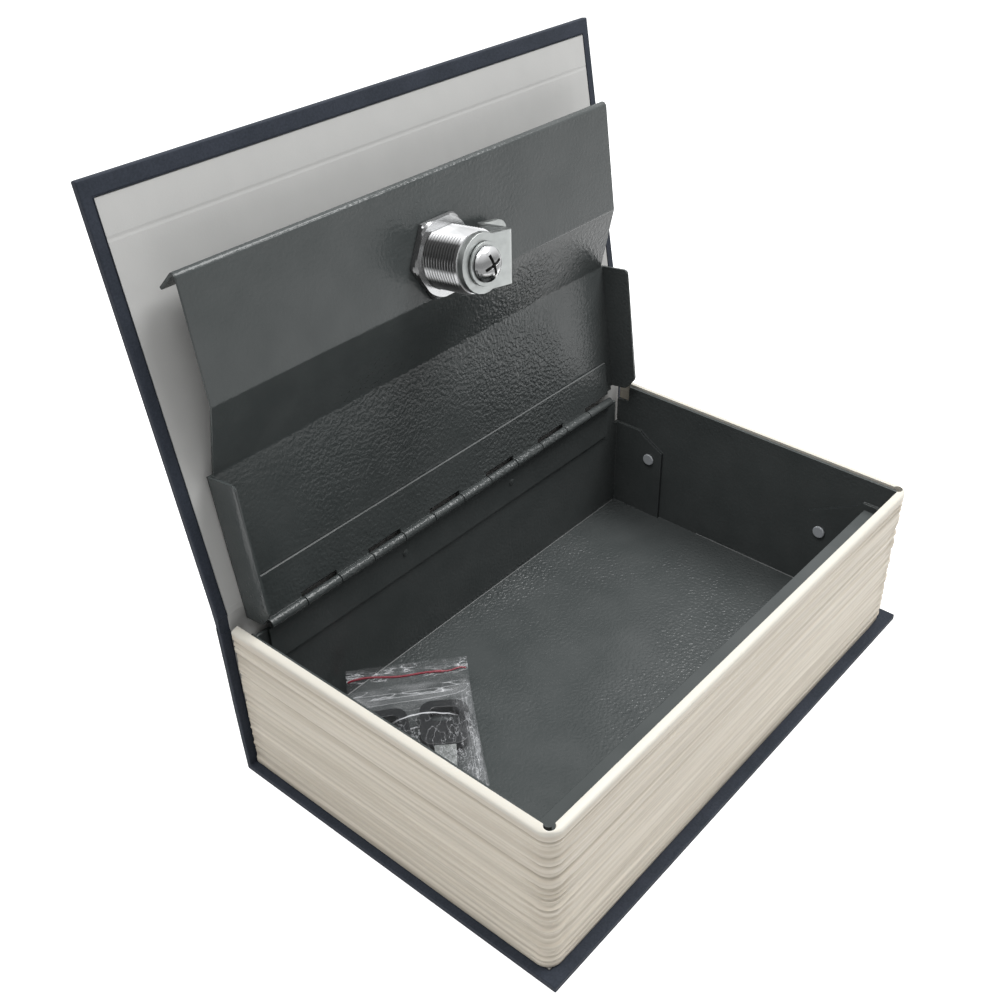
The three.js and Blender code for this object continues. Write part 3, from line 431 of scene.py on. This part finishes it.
# %% Frames of the cover and the lock
joints = {joint["name"]: joint for joint in frame["joints"]}
cover_angle = -99.88
cover_hinge = Matrix.Translation(Vector(joints["cover_follow"]["pos_m"]))
cover_frame = cover_hinge @ Matrix.Rotation(math.radians(cover_angle), 4, "X")
lock_up = -Vector(joints["lock_turn"]["axis"]).normalized()
lock_side = Vector((1, 0, 0))
lock_frame = Matrix.Translation(Vector(joints["lock_turn"]["pos_m"])) @ Matrix((
    (*lock_side,), (*lock_up.cross(lock_side),), (*lock_up,))).transposed().to_4x4()

def extent(node, place=Matrix()):
    """The lowest and highest corner of a CAD node on the axes of a frame."""
    back = place.inverted()
    points = [back @ vert.co for vert in nodes[node].data.vertices]
    return (Vector([min(point[k] for point in points) for k in range(3)]),
            Vector([max(point[k] for point in points) for k in range(3)]))

print("cover opened", cover_angle, "degrees")

# %% [markdown]
# Folded and pressed steel never has a knife edge: the coat rounds it. Each such CAD solid is
# copied, its triangles are merged back into flat faces, and a narrow bevel is laid along the
# sharp edges. The lid has long bends with many short facets beside its edges, where a bevel
# would tear, so its copy is only shaded smooth, with normals weighted by the area of the
# faces so that the flats stay flat. The solid itself stays as it is.

# %% Softened copies of the CAD solids
def softened(node, width, segments=2):
    bm = bmesh.new()
    bm.from_mesh(nodes[node].data)
    bmesh.ops.remove_doubles(bm, verts=bm.verts, dist=0.002 * MM)
    if width:
        bmesh.ops.dissolve_limit(bm, angle_limit=math.radians(1), verts=bm.verts, edges=bm.edges,
                                 delimit={"NORMAL"})
    piece = finished(node + "_finished", bm, body_of_node[node], slot_of_node[node], [node], closed=False)
    if width:
        add_bevel(piece, width, segments)
    else:
        weighted = piece.modifiers.new("Flat faces", "WEIGHTED_NORMAL")
        weighted.weight = 100
        weighted.keep_sharp = True
    return piece

softened_widths = {
    "steel_box": 0.18, "steel_lid": 0, "hinge_box_leaf": 0.08, "hinge_lid_leaf": 0.08,
    "lock_cam": 0.18, "cam_screw": 0.10, "cam_washer": 0.10, "lock_plug": 0.10,
}
copies = {node: softened(node, width * MM) for node, width in softened_widths.items()}
screw_turn = lock_frame @ Matrix.Rotation(math.radians(-24), 4, "Z") @ lock_frame.inverted()
copies["cam_screw"].data.transform(screw_turn)
print("softened", len(copies))

# %% [markdown]
# The upper edge of the lid's hinge leaf gets a pale finish as a painted highlight, so it is a
# bright line. The lower edge of the box's hinge leaf faces down into shade, and the same pale
# finish paints light on it, so it is a bright line too. The upright cut edges of the flaps in
# the side walls get a darker coat as painted shade. All these are finishes on the edges' own
# faces, which a helper picks by their place and by the way they face. The cross recess of the
# screw gets painted shade in the same way: the faces that lie below its dome get a dark finish.

# %% Cut edges and the screw's recess
def repaint(piece, finish, chosen):
    piece.data.materials.append(finish)
    painted = 0
    for face in piece.data.polygons:
        if chosen(face.center, face.normal):
            face.material_index = len(piece.data.materials) - 1
            painted += 1
    print("repainted", painted, "faces of", piece.name)

lid_leaf_edge = extent("hinge_lid_leaf")[1].z - 0.6 * MM
box_leaf_edge = 40 * MM
# Painted highlight on the lid leaf's upper edge, and painted light on the box leaf's lower edge.
repaint(copies["hinge_lid_leaf"], painted_highlight_coat, lambda place, way: way.z > 0.7 and place.z > lid_leaf_edge)
repaint(copies["hinge_box_leaf"], painted_highlight_coat, lambda place, way: way.z < -0.7 and place.z < box_leaf_edge)

# The darker coat is painted shade on the cut edges of the flaps.
painted_shade_coat, tree, shader, position = new_finish("painted_shade_coat", (0.032, 0.036, 0.037), 0.5)
shader.inputs["Specular IOR Level"].default_value = 0.2
flap_side, flap_foot, flap_top = 75 * MM, 3 * MM, 44 * MM

def on_flap_edge(place, way):
    """The cut edges of the flaps are upright and face the middle of the box."""
    to_middle = abs(way.x) < 0.3 and abs(way.y) > 0.3 and way.y * place.y < 0
    return to_middle and abs(place.x) > flap_side and flap_foot < place.z < flap_top

repaint(copies["steel_box"], painted_shade_coat, on_flap_edge)

to_lock = lock_frame.inverted()
head_bottom = extent("cam_screw", lock_frame)[0].z
dome_rise, recess_reach = 2.6 * MM, 3.3 * MM
sides_end = head_bottom + dome_rise * 0.75
floor_start, floor_end = head_bottom + 1.2 * MM, head_bottom + dome_rise

def in_recess(place, way):
    """The sides and the floor of the cross, told by their place on the lock's own axes."""
    spot = to_lock @ place
    turned = to_lock.to_3x3() @ way
    sideways = abs(turned.z) < 0.4 and spot.z < sides_end
    floor = turned.z < -0.9 and floor_start < spot.z < floor_end
    return math.hypot(spot.x, spot.y) < recess_reach and (sideways or floor)

# The dark finish in the recess is painted shade.
repaint(copies["cam_screw"], painted_recess_shade, in_recess)

# %% [markdown]
# The folds between the floor of the box and its back and right walls catch the light. A bevel
# there would reshape the CAD solid, so each fold is a thin round bead laid in the corner, and
# its pale finish is a painted highlight.

# %% Fold lines
box_low, box_high = extent("steel_box")
sheet = 1.0 * MM
fold_radius = 0.22 * MM
fold_z = box_low.z + sheet + 0.08 * MM
back_fold_length, right_fold_length = 165 * MM, 60 * MM
right_fold_middle = box_low.y + 40 * MM

def fold_line(name, length, axis, place):
    bm = bmesh.new()
    rod(bm, fold_radius, length, 12, axis, place)
    # The pale finish of the bead is a painted highlight.
    finished(name, bm, "book_case", "dark_painted_steel", finish=painted_highlight_coat)

fold_line("floor_fold_back", back_fold_length, "Y", (0, box_high.y - sheet, fold_z))
fold_line("floor_fold_right", right_fold_length, "X", (box_high.x - sheet, right_fold_middle, fold_z))

# %% [markdown]
# The four rivets in the side walls have flat, pale heads with a thin bright rim. A head is a
# short round plate with a bevelled edge, and its shank is a thinner rod that goes through the
# wall behind it. Together they replace the CAD rivet and end 0.05 mm before it does.

# %% Wall rivets
rivet_plate, tree, shader, position = new_finish("rivet_plate", (0.42, 0.44, 0.46), 0.4)
raise_surface(tree, shader, grain(tree, position, 0.8 * MM), 0.03 * MM)
head_radius, head_height = 2.1 * MM, 0.8 * MM
shank_radius, shank_gap = 1.2 * MM, 0.05 * MM

for node in ("rivet_front_left", "rivet_front_right", "rivet_back_left", "rivet_back_right"):
    low, high = extent(node)
    middle = (low + high) / 2
    side = 1 if middle.x > 0 else -1
    inside = low.x if side > 0 else high.x
    shank_length = (high.x - low.x) - (head_height + shank_gap)
    bm = bmesh.new()
    lengths = ((head_radius, head_height, 0.0), (shank_radius, shank_length, head_height))
    for radius, length, start in lengths:
        place = Vector((inside + side * (start + length / 2), middle.y, middle.z))
        rod(bm, radius, length, 32, "Y", place)
    piece = finished(node + "_plate", bm, "book_case", "bright_steel", [node], finish=rivet_plate)
    add_bevel(piece, 0.3 * MM, 3)

# %% [markdown]
# The boards are wrapped in cloth, so their edges are well rounded. They are copies of the
# CAD solids too, with a wider bevel, and the lining papers get the soft edge of paper. The
# paper inside the cover has a faint crease near its upper edge, so it is drawn anew: a thin
# outline with a shallow dent, drawn out along X and opened with the cover.

# %% Cloth boards and papers
for node, width in {"case_cloth": 0.30, "cover_cloth": 0.45}.items():
    softened(node, width * MM, 3)
for node in ("bottom_endpaper", "spine_liner"):
    softened(node, 0.08 * MM)

paper_low, paper_high = extent("cover_endpaper", cover_frame)
crease_y, crease_depth = paper_low.y + 9.4 * MM, 0.05 * MM
crease_half, crease_floor_half = 0.7 * MM, 0.15 * MM
paper_outline = [
    (paper_low.y, paper_high.z), (paper_low.y, paper_low.z), (crease_y - crease_half, paper_low.z),
    (crease_y - crease_floor_half, paper_low.z + crease_depth),
    (crease_y + crease_floor_half, paper_low.z + crease_depth),
    (crease_y + crease_half, paper_low.z), (paper_high.y, paper_low.z), (paper_high.y, paper_high.z),
]
bm = bmesh.new()
prism(bm, paper_outline, paper_low.x, paper_high.x)
bmesh.ops.transform(bm, matrix=cover_frame, verts=bm.verts)
finished("cover_lining", bm, "cover", "grey_paper", ["cover_endpaper"], crisp=5)

# %% [markdown]
# Between spine and cover the cloth runs on without a break, lined with the same paper, and
# bends when the book is closed. The joint is drawn in two parts, because it turns with two
# joints: the lower one lies between the case and the joint, the upper one between the joint and
# the cover. Neither part is made to bend or to ride on those bodies here; both stay where they
# are drawn. The paper lining shows only at the two ends; between them, behind the hinge, there
# is bare cloth.

# %% Cloth joint
joint_y, joint_z = Vector(joints["cover_follow"]["pos_m"]).yz
cloth_half = 89.9 * MM
lining_half, lining_end = paper_high.x, 77 * MM
paper_thickness, bend_reach = 0.3 * MM, 4.5 * MM
joint_foot, joint_top = joint_z - 12 * MM, joint_z + 3.6 * MM
band_rows = 12
cover_lean = 0.1743

def joint_face(outside, z):
    """How far back the bent cloth lies at a height: it goes from upright to the cover's lean."""
    rise = (z - joint_z) / MM
    start, end, back = (-2.2, 2.0, 0.47) if outside else (1.6, 3.4, -1.24)
    bent = min(max(rise - start, 0.0), end - start)
    lean = bent * bent / (2 * (end - start)) + max(rise - end, 0.0)
    return joint_y + (back + cover_lean * lean) * MM

def cloth_outside(z):
    return joint_face(True, z)

def paper_inside(z):
    return joint_face(False, z)

def cloth_inside(z):
    return joint_face(False, z) + paper_thickness

def joint_band(name, z0, z1, inner, outer, x0, x1, bodies, slot, replaces=()):
    heights = [z0 + (z1 - z0) * k / band_rows for k in range(band_rows + 1)]
    outline = [(outer(z), z) for z in heights] + [(inner(z), z) for z in reversed(heights)]
    bm = bmesh.new()
    prism(bm, outline, x0, x1)
    piece = finished(name, bm, None, slot, replaces, crisp=40)
    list(bodies)
    max(z0, joint_z - bend_reach)
    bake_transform(piece)

halves = (
    ("lower", joint_foot, joint_z, ("book_case", "cover_joint"), ["cover_joint"]),
    ("upper", joint_z, joint_top, ("cover_joint", "cover"), ()),
)
lining_ends = (("left", -lining_half, -lining_end), ("right", lining_end, lining_half))
for part, z0, z1, bodies, replaces in halves:
    joint_band("joint_cloth_" + part, z0, z1, cloth_inside, cloth_outside, -cloth_half, cloth_half,
               bodies, "book_cloth", replaces)
    for end, x0, x1 in lining_ends:
        joint_band(f"joint_lining_{part}_{end}", z0, z1, paper_inside, cloth_inside, x0, x1,
                   bodies, "grey_paper")

# %% [markdown]
# The false pages are one moulded wall on three sides. A grid is laid out along the wall and
# round its section: up the outside, over the rim and down the inside. The outside swells and
# sinks in level bands of uneven height, as real pages do, and more so round the two corners.
# Inside, each front corner of the rim has a round relief for the corner of the steel box.

# %% Page block
page_low, page_high = extent("page_block")
page_half, page_front, page_back = 87.9 * MM, page_low.y, page_high.y
wall_thickness = 2.3 * MM
pocket_half, pocket_front = page_half - wall_thickness, page_front + wall_thickness
page_floor, page_top = page_low.z, page_high.z
corner_radius = 4.5 * MM
corner_steps = 16
relief_radius, relief_setback, relief_depth = 1.5 * MM, 0.5 * MM, 7 * MM

def wall_path(step):
    """Places along the wall: x, y, outward x and y, angle of the relief or None, nearness to a corner."""
    path = []
    straight = page_back - page_front - corner_radius
    width = 2 * (page_half - corner_radius)
    half_relief = 0.75 * math.pi - math.asin(relief_setback / relief_radius)

    def run(x0, y0, dx, dy, length, nx, ny):
        count = round(length / step)
        for k in range(1, count):
            gone = length * k / count
            near = math.exp(-(min(gone, length - gone) / (3 * MM)) ** 2)
            path.append((x0 + dx * gone, y0 + dy * gone, nx, ny, None, near))

    def bend(cx, cy, first, side):
        for k in range(corner_steps + 1):
            share = k / corner_steps
            a = first + share * math.pi / 2
            diagonal = math.radians(225 if side < 0 else 315)
            relief = diagonal + (2 * share - 1) * half_relief
            path.append((cx + corner_radius * math.cos(a), cy + corner_radius * math.sin(a),
                         math.cos(a), math.sin(a), relief, 1.0))

    path.append((-page_half, page_back, -1, 0, None, 0))
    run(-page_half, page_back, 0, -1, straight, -1, 0)
    bend(-page_half + corner_radius, page_front + corner_radius, math.pi, -1)
    run(-page_half + corner_radius, page_front, 1, 0, width, 0, -1)
    bend(page_half - corner_radius, page_front + corner_radius, 1.5 * math.pi, 1)
    run(page_half, page_front + corner_radius, 0, 1, straight, 1, 0)
    path.append((page_half, page_back, 1, 0, None, 0))
    return path

def page_inset(travel, z, near):
    """How far the pages sink in at a place along the wall and a height."""
    height = (z - page_floor) / MM
    broad = noise.noise(Vector((travel * 0.004, 3.7, height * 0.40)))
    narrow = noise.noise(Vector((travel * 0.007, 9.1, height * 1.15)))
    under_rim = math.exp(-((pages_top - 0.5 * MM - z) / (0.5 * MM)) ** 2)
    corner = near * (1.3 if z < page_top - relief_depth - MM else 0.2)
    depth = max(0.0, 0.22 + 0.36 * broad + 0.42 * narrow) * (1 + corner) + 0.15 * under_rim
    return min(depth, 0.9) * MM

path = wall_path(2.4 * MM)
travelled = [0.0]
for before, after in zip(path, path[1:]):
    travelled.append(travelled[-1] + math.dist(before[:2], after[:2]) / MM)
rim_bend = 0.9 * MM
page_rows, edge_rows, bend_rows = 150, 4, 8
edge_height = page_top - rim_bend - pages_top
bend_end, relief_end = page_top - 1.2 * MM, page_top - relief_depth
rows = [("outer", page_floor + (pages_top - page_floor) * k / page_rows) for k in range(page_rows + 1)]
rows += [("outer", pages_top + edge_height * k / edge_rows) for k in range(1, edge_rows + 1)]
rows += [("rim", k / bend_rows) for k in range(1, bend_rows + 1)]
rows += [("inner", bend_end), ("inner", relief_end), ("plain", relief_end), ("plain", page_floor)]

def page_point(i, j):
    x, y, nx, ny, relief, near = path[i]
    kind, value = rows[j]
    side = -1 if x < 0 else 1
    inner_x = max(-pocket_half, min(pocket_half, x - nx * wall_thickness))
    inner_y = max(pocket_front, y - ny * wall_thickness)
    if relief is not None and kind != "plain":
        inner_x = side * (pocket_half - relief_setback) + relief_radius * math.cos(relief)
        inner_y = pocket_front + relief_setback + relief_radius * math.sin(relief)
    if kind == "outer":
        inset = page_inset(travelled[i], value, near) if value < pages_top else 0.0
        return (x - nx * inset, y - ny * inset, value)
    if kind == "rim":
        reach = 1 - math.cos(value * math.pi / 2)
        rise = math.sin(value * math.pi / 2)
        return (x + (inner_x - x) * reach, y + (inner_y - y) * reach, page_top - rim_bend * (1 - rise))
    return (inner_x, inner_y, value)

bm = bmesh.new()
mapped_grid(bm, len(path) - 1, len(rows) - 1, page_point)
open_edges = [edge for edge in bm.edges if edge.is_boundary]
underside = [edge for edge in open_edges if all(abs(vert.co.z - page_floor) < 1e-6 for vert in edge.verts)]
bmesh.ops.bridge_loops(bm, edges=underside)
bmesh.ops.holes_fill(bm, edges=[edge for edge in bm.edges if edge.is_boundary], sides=0)
finished("page_edges", bm, "book_case", "ivory_plastic", ["page_block"], crisp=60)

# %% [markdown]
# The lock's barrel is threaded for its whole length and has two flats that stop it turning in
# the lid. A true helix would look the same at this size, so a profile with one ridge per
# millimetre is spun about the lock's axis, and two planes cut the flats. The head outside is a
# second ring. Both are built on the axis and then carried to the lid by the lock's own frame,
# which comes from its joint. The sizes of the lock are in millimetres.

# %% Lock barrel
def ring(bm, profile, steps=64):
    """Spins a closed outline of (radius, height) in millimetres about Z."""
    verts = [bm.verts.new((r * MM, 0, z * MM)) for r, z in profile]
    edges = [bm.edges.new((verts[k - 1], verts[k])) for k in range(len(verts))]
    bmesh.ops.spin(bm, geom=verts + edges, cent=(0, 0, 0), axis=(0, 0, 1), angle=2 * math.pi,
                   steps=steps, use_merge=True, use_duplicate=False)

barrel = bmesh.new()
barrel_end, barrel_bore, flat_half = -14.0, 6.3, 8.0
thread_start, thread_ridges, thread_root, thread_crest = -13.8, 13, 8.4, 9.0
ridge = ((thread_root, 0), (thread_crest, 0.4), (thread_crest, 0.55), (thread_root, 0.95))
outline = [(barrel_bore, barrel_end), (8.5, barrel_end)]
for k in range(thread_ridges):
    outline += [(r, thread_start + k + rise) for r, rise in ridge]
outline += [(thread_crest, -0.6), (thread_crest, 1.0), (barrel_bore, 1.0)]
ring(barrel, outline)
bmesh.ops.remove_doubles(barrel, verts=barrel.verts, dist=0.001 * MM)
for side in (-1, 1):
    bmesh.ops.bisect_plane(barrel, geom=barrel.verts[:] + barrel.edges[:] + barrel.faces[:],
                           plane_co=(0, side * flat_half * MM, 0), plane_no=(0, side, 0), clear_outer=True)
    bmesh.ops.holes_fill(barrel, edges=[edge for edge in barrel.edges if edge.is_boundary], sides=0)
ring(barrel, [(barrel_bore, 1.05), (10.2, 1.05), (10.6, 1.4), (10.6, 2.3), (10.3, 2.9), (9.5, 3.35),
              (8.9, 3.45), (7.5, 3.45), (7.5, 2.0), (barrel_bore, 2.0)])
bmesh.ops.transform(barrel, matrix=lock_frame, verts=barrel.verts)
finished("lock_barrel", barrel, "lid", "chrome", ["lock_body"], crisp=30, finish=barrel_painted_reflection)

# %% [markdown]
# The nut is a flat hexagon whose corners are chamfered on the face that shows. A grid is
# wrapped round it: round the axis one way, and over its section the other way. The radius
# of a hexagon at an angle is its half width over a cosine, and the chamfer limits it.

# %% Lock nut
nut_half_width = 10.7
nut_bore, nut_bore_flat = 9.15, 8.15
nut_low, nut_high = -2.25, -0.25
nut_steps = 96
nut_rows = ((None, nut_low), (11.0, nut_low), (11.75, nut_low + 0.45), (12.2, nut_low + 0.95),
            (12.2, nut_high), (None, nut_high))

def nut_point(i, j):
    """A point of the hexagon, which a radius limits, or of the bore, where no limit is given."""
    a = 2 * math.pi * i / nut_steps
    limit, z = nut_rows[j % len(nut_rows)]
    hexagon = nut_half_width / math.cos(a % (math.pi / 3) - math.pi / 6)
    flats = nut_bore_flat / max(abs(math.sin(a)), 0.01)
    r = min(hexagon, limit) if limit else min(nut_bore, flats)
    return (r * math.cos(a) * MM, r * math.sin(a) * MM, z * MM)

bm = bmesh.new()
mapped_grid(bm, nut_steps, len(nut_rows), nut_point)
bmesh.ops.transform(bm, matrix=lock_frame, verts=bm.verts)
finished("lock_nut_finished", bm, "lid", "bright_steel", ["lock_nut"], crisp=25, finish=nut_painted_reflection)

# %% [markdown]
# Two flat keys with black bows lie in a bag of thin clear film. The bag lies in the corner,
# turned 40 degrees. Cloth simulation could let it settle over the keys, but its few large
# swellings are simple: the two layers are grids that follow one formula, fullest in the
# middle, closed at the seams and lifted at the mouth. A folded noise crumples them.

# %% Bag film
bag_left, bag_right, bag_end, bag_mouth = -17.0, 20.0, -22.5, 24.0

def bag_height(x, y):
    """Half thickness and middle height of the bag, in millimetres, at a place on it."""
    share = min(1.0, max(0.0, (y - bag_end) / (bag_mouth - bag_end)))
    full = math.sin(math.pi * share) ** 0.35 if 0 < share < 1 else 0.0
    across = min(1.0, abs(x - (bag_left + bag_right) / 2) / (bag_right - bag_left) * 2)
    round_off = math.sqrt(max(0.0, 1 - across ** 4))
    return (0.25 + 2.5 * full) * round_off, 2.9 + 7.0 * share ** 10

bag_columns, bag_rows = 110, 140

def film_point(side):
    def point(i, j):
        x = bag_left + (bag_right - bag_left) * i / bag_columns
        y = bag_end + (bag_mouth - bag_end) * j / bag_rows
        half, middle = bag_height(x, y)
        seam = i in (0, bag_columns) or j in (0, bag_rows)
        stretched = Vector((x * 0.05 + side * 3, y * 0.22, side * 2.0))
        fold = noise.ridged_multi_fractal(stretched, 0.9, 2.1, 5, 1.0, 2.0)
        soft = noise.noise(Vector((x * 0.35, y * 0.35, 5 + side)))
        lift = 0.0 if seam else 0.30 * soft + 0.25 * (fold - 1.0)
        z = middle + side * (half + (lift if half > 0.4 else 0.3 * lift))
        return (x * MM, y * MM, max(0.1, z) * MM)
    return point

bm = bmesh.new()
for side in (-1, 1):
    mapped_grid(bm, bag_columns, bag_rows, film_point(side))
bmesh.ops.transform(bm, matrix=bag_frame, verts=bm.verts)
finished("bag_film", bm, "key_bag", "clear_film", ["key_bag"], crisp=50)

# %% [markdown]
# The red zip is two thin welded lines on the upper layer, which run past each other. A curve
# with a round profile would do, but it would have to be made a mesh before it could ride, so
# a grid is wrapped round each line of points instead. The points follow the film's height.

# %% Red zip
zip_steps, zip_around, zip_lift = 40, 8, 0.15

def zip_line(first_x, last_x, first_y, last_y):
    points = []
    for k in range(zip_steps + 1):
        share = k / zip_steps
        x = first_x + (last_x - first_x) * share
        y = first_y + (last_y - first_y) * share + 0.25 * math.sin(share * 9)
        half, middle = bag_height(x, y)
        points.append(Vector((x * MM, y * MM, (middle + half + zip_lift) * MM)))
    return points

def zip_tube(name, points, radius):
    """A round tube along points, with closed ends."""
    def place(i, j):
        onward = (points[min(i + 1, zip_steps)] - points[max(i - 1, 0)]).normalized()
        side = onward.cross(Vector((0, 0, 1))).normalized()
        a = 2 * math.pi * j / zip_around
        return points[i] + radius * (math.cos(a) * side + math.sin(a) * onward.cross(side))
    bm = bmesh.new()
    mapped_grid(bm, zip_steps, zip_around, place)
    bmesh.ops.remove_doubles(bm, verts=bm.verts, dist=0.001 * MM)
    bmesh.ops.holes_fill(bm, edges=[edge for edge in bm.edges if edge.is_boundary], sides=0)
    bmesh.ops.transform(bm, matrix=bag_frame, verts=bm.verts)
    finished(name, bm, "key_bag", "clear_film", finish=zip_red)

zip_tube("zip_line_long", zip_line(-16.5, 12.5, 21.4, 20.5), 0.34 * MM)
zip_tube("zip_line_short", zip_line(8.0, 19.3, 20.6, 21.3), 0.28 * MM)

# %% [markdown]
# A key's bow is a thick black plate with round corners and a slot for a ring. Its outline and
# its slot are filled as one flat face, drawn out to the thickness and bevelled, as a moulded
# bow is. The blades come from the CAD model, with their edges softened.

# %% Keys
bow_half, bow_length, bow_thickness, bow_corner = 7.25, 18, 2.4, 4
slot_half, slot_low, slot_high, slot_corner = 4.25, 9.5, 15, 2
key_height = 2.9

def rounded_outline(x0, x1, y0, y1, radius, steps=8):
    points = []
    for cx, cy, quarter in ((x1 - radius, y0 + radius, -1), (x1 - radius, y1 - radius, 0),
                            (x0 + radius, y1 - radius, 1), (x0 + radius, y0 + radius, 2)):
        for k in range(steps + 1):
            a = (quarter + k / steps) * math.pi / 2
            points.append((cx + radius * math.cos(a), cy + radius * math.sin(a)))
    return points

def key_bow(name, place, node):
    outline = rounded_outline(-bow_half, bow_half, 0, bow_length, bow_corner)
    slot = rounded_outline(-slot_half, slot_half, slot_low, slot_high, slot_corner)
    bm = bmesh.new()
    edges = []
    for points in (outline, slot):
        verts = [bm.verts.new((x * MM, y * MM, -bow_thickness * MM / 2)) for x, y in points]
        edges += [bm.edges.new((verts[k - 1], verts[k])) for k in range(len(verts))]
    bmesh.ops.triangle_fill(bm, edges=edges, use_beauty=True)
    made = bmesh.ops.extrude_face_region(bm, geom=bm.faces[:])
    upper = [item for item in made["geom"] if isinstance(item, bmesh.types.BMVert)]
    bmesh.ops.translate(bm, vec=(0, 0, bow_thickness * MM), verts=upper)
    bmesh.ops.transform(bm, matrix=bag_frame @ place, verts=bm.verts)
    piece = finished(name, bm, "key_bag", "black_plastic", [node], crisp=30)
    add_bevel(piece, 0.25 * MM, 3)

for key, x, y, turn in (("key_1", 9.6, -5.4, -5), ("key_2", -6.6, -6.4, 3)):
    turned = Matrix.Rotation(math.radians(turn), 4, "Z")
    key_bow(key + "_grip", Matrix.Translation(Vector((x, y, key_height)) * MM) @ turned, key + "_bow")
for name in ("key_1_blade", "key_2_blade"):
    softened(name, 0.12 * MM)

# %% [markdown]
# The object stands on a plain pale floor. To the camera and in reflections the floor glows a
# little and so looks white, but it lights the object only as plain matt paper would. A Light
# Path node tells the two kinds of ray apart.

# %% Floor
def seen_directly(tree):
    """1 for the rays that show the stage itself, 0 for those by which it lights the object."""
    rays = add_node(tree, "ShaderNodeLightPath").outputs
    seen = calc(tree, "MAXIMUM", rays["Is Camera Ray"], rays["Is Glossy Ray"])
    return calc(tree, "MAXIMUM", seen, rays["Is Transmission Ray"])

scene = bpy.context.scene
scene.view_settings.view_transform = "Standard"

bm = bmesh.new()
bmesh.ops.create_grid(bm, x_segments=2, y_segments=2, size=4.0)
floor_mesh = bpy.data.meshes.new("floor")
bm.to_mesh(floor_mesh)
bm.free()
floor = bpy.data.objects.new("floor", floor_mesh)
scene.collection.objects.link(floor)
floor_finish, tree, shader, position = new_finish("floor_finish", (0.80, 0.80, 0.80), 0.9)
shader.inputs["Specular IOR Level"].default_value = 0.0
glow_strength = calc(tree, "MULTIPLY", seen_directly(tree), 0.66)
glow = add_node(tree, "ShaderNodeEmission", {"Color": (1, 1, 1, 1), "Strength": glow_strength})
total = add_node(tree, "ShaderNodeAddShader", {0: shader.outputs[0], 1: glow.outputs[0]})
tree.links.new(total.outputs[0], tree.nodes["Material Output"].inputs["Surface"])
floor_mesh.materials.append(floor_finish)

# %% [markdown]
# The world is a plain white room, dimmer for what it lights than for what sees it. Two large
# soft lamps give the shadows: the main one is high on the right, and a weaker one stands high
# on the left. The camera is where the photograph was taken, with the same turn and shift.

# %% Light and camera
world = bpy.data.worlds.new("studio")
scene.world = world
world.use_nodes = True
tree = world.node_tree
background = tree.nodes["Background"]
background.inputs["Color"].default_value = (1, 1, 1, 1)
tree.links.new(spread(tree, seen_directly(tree), 0, 1, 0.40, 1.0), background.inputs["Strength"])

lamp_target = Vector((0, 0, 0.05))

def soft_lamp(name, place, power):
    data = bpy.data.lights.new(name, "AREA")
    data.shape = "RECTANGLE"
    data.size, data.size_y = 0.5, 0.4
    data.energy = power
    lamp = bpy.data.objects.new(name, data)
    lamp.location = place
    lamp.rotation_euler = (lamp_target - Vector(place)).to_track_quat("-Z", "Y").to_euler()
    scene.collection.objects.link(lamp)

soft_lamp("high_lamp", (0.32, -0.17, 0.82), 8.4)
soft_lamp("back_lamp", (-0.34, 0.05, 0.92), 4.9)

camera_data = bpy.data.cameras.new("photo_camera")
camera_data.sensor_width = 36
camera_data.lens = 43.62
camera_data.shift_x = -0.0447
camera_data.shift_y = 0.0349
camera_data.clip_start = 0.01
camera = bpy.data.objects.new("photo_camera", camera_data)
scene.collection.objects.link(camera)
camera.location = (-0.22254, -0.16283, 0.2648)
yaw, pitch = math.radians(50.64), math.radians(-36.68)
forward = Vector((math.sin(yaw) * math.cos(pitch), math.cos(yaw) * math.cos(pitch), math.sin(pitch)))
camera.rotation_euler = forward.to_track_quat("-Z", "Y").to_euler()
scene.camera = camera
print("lamps 2, lens", camera_data.lens, "mm")
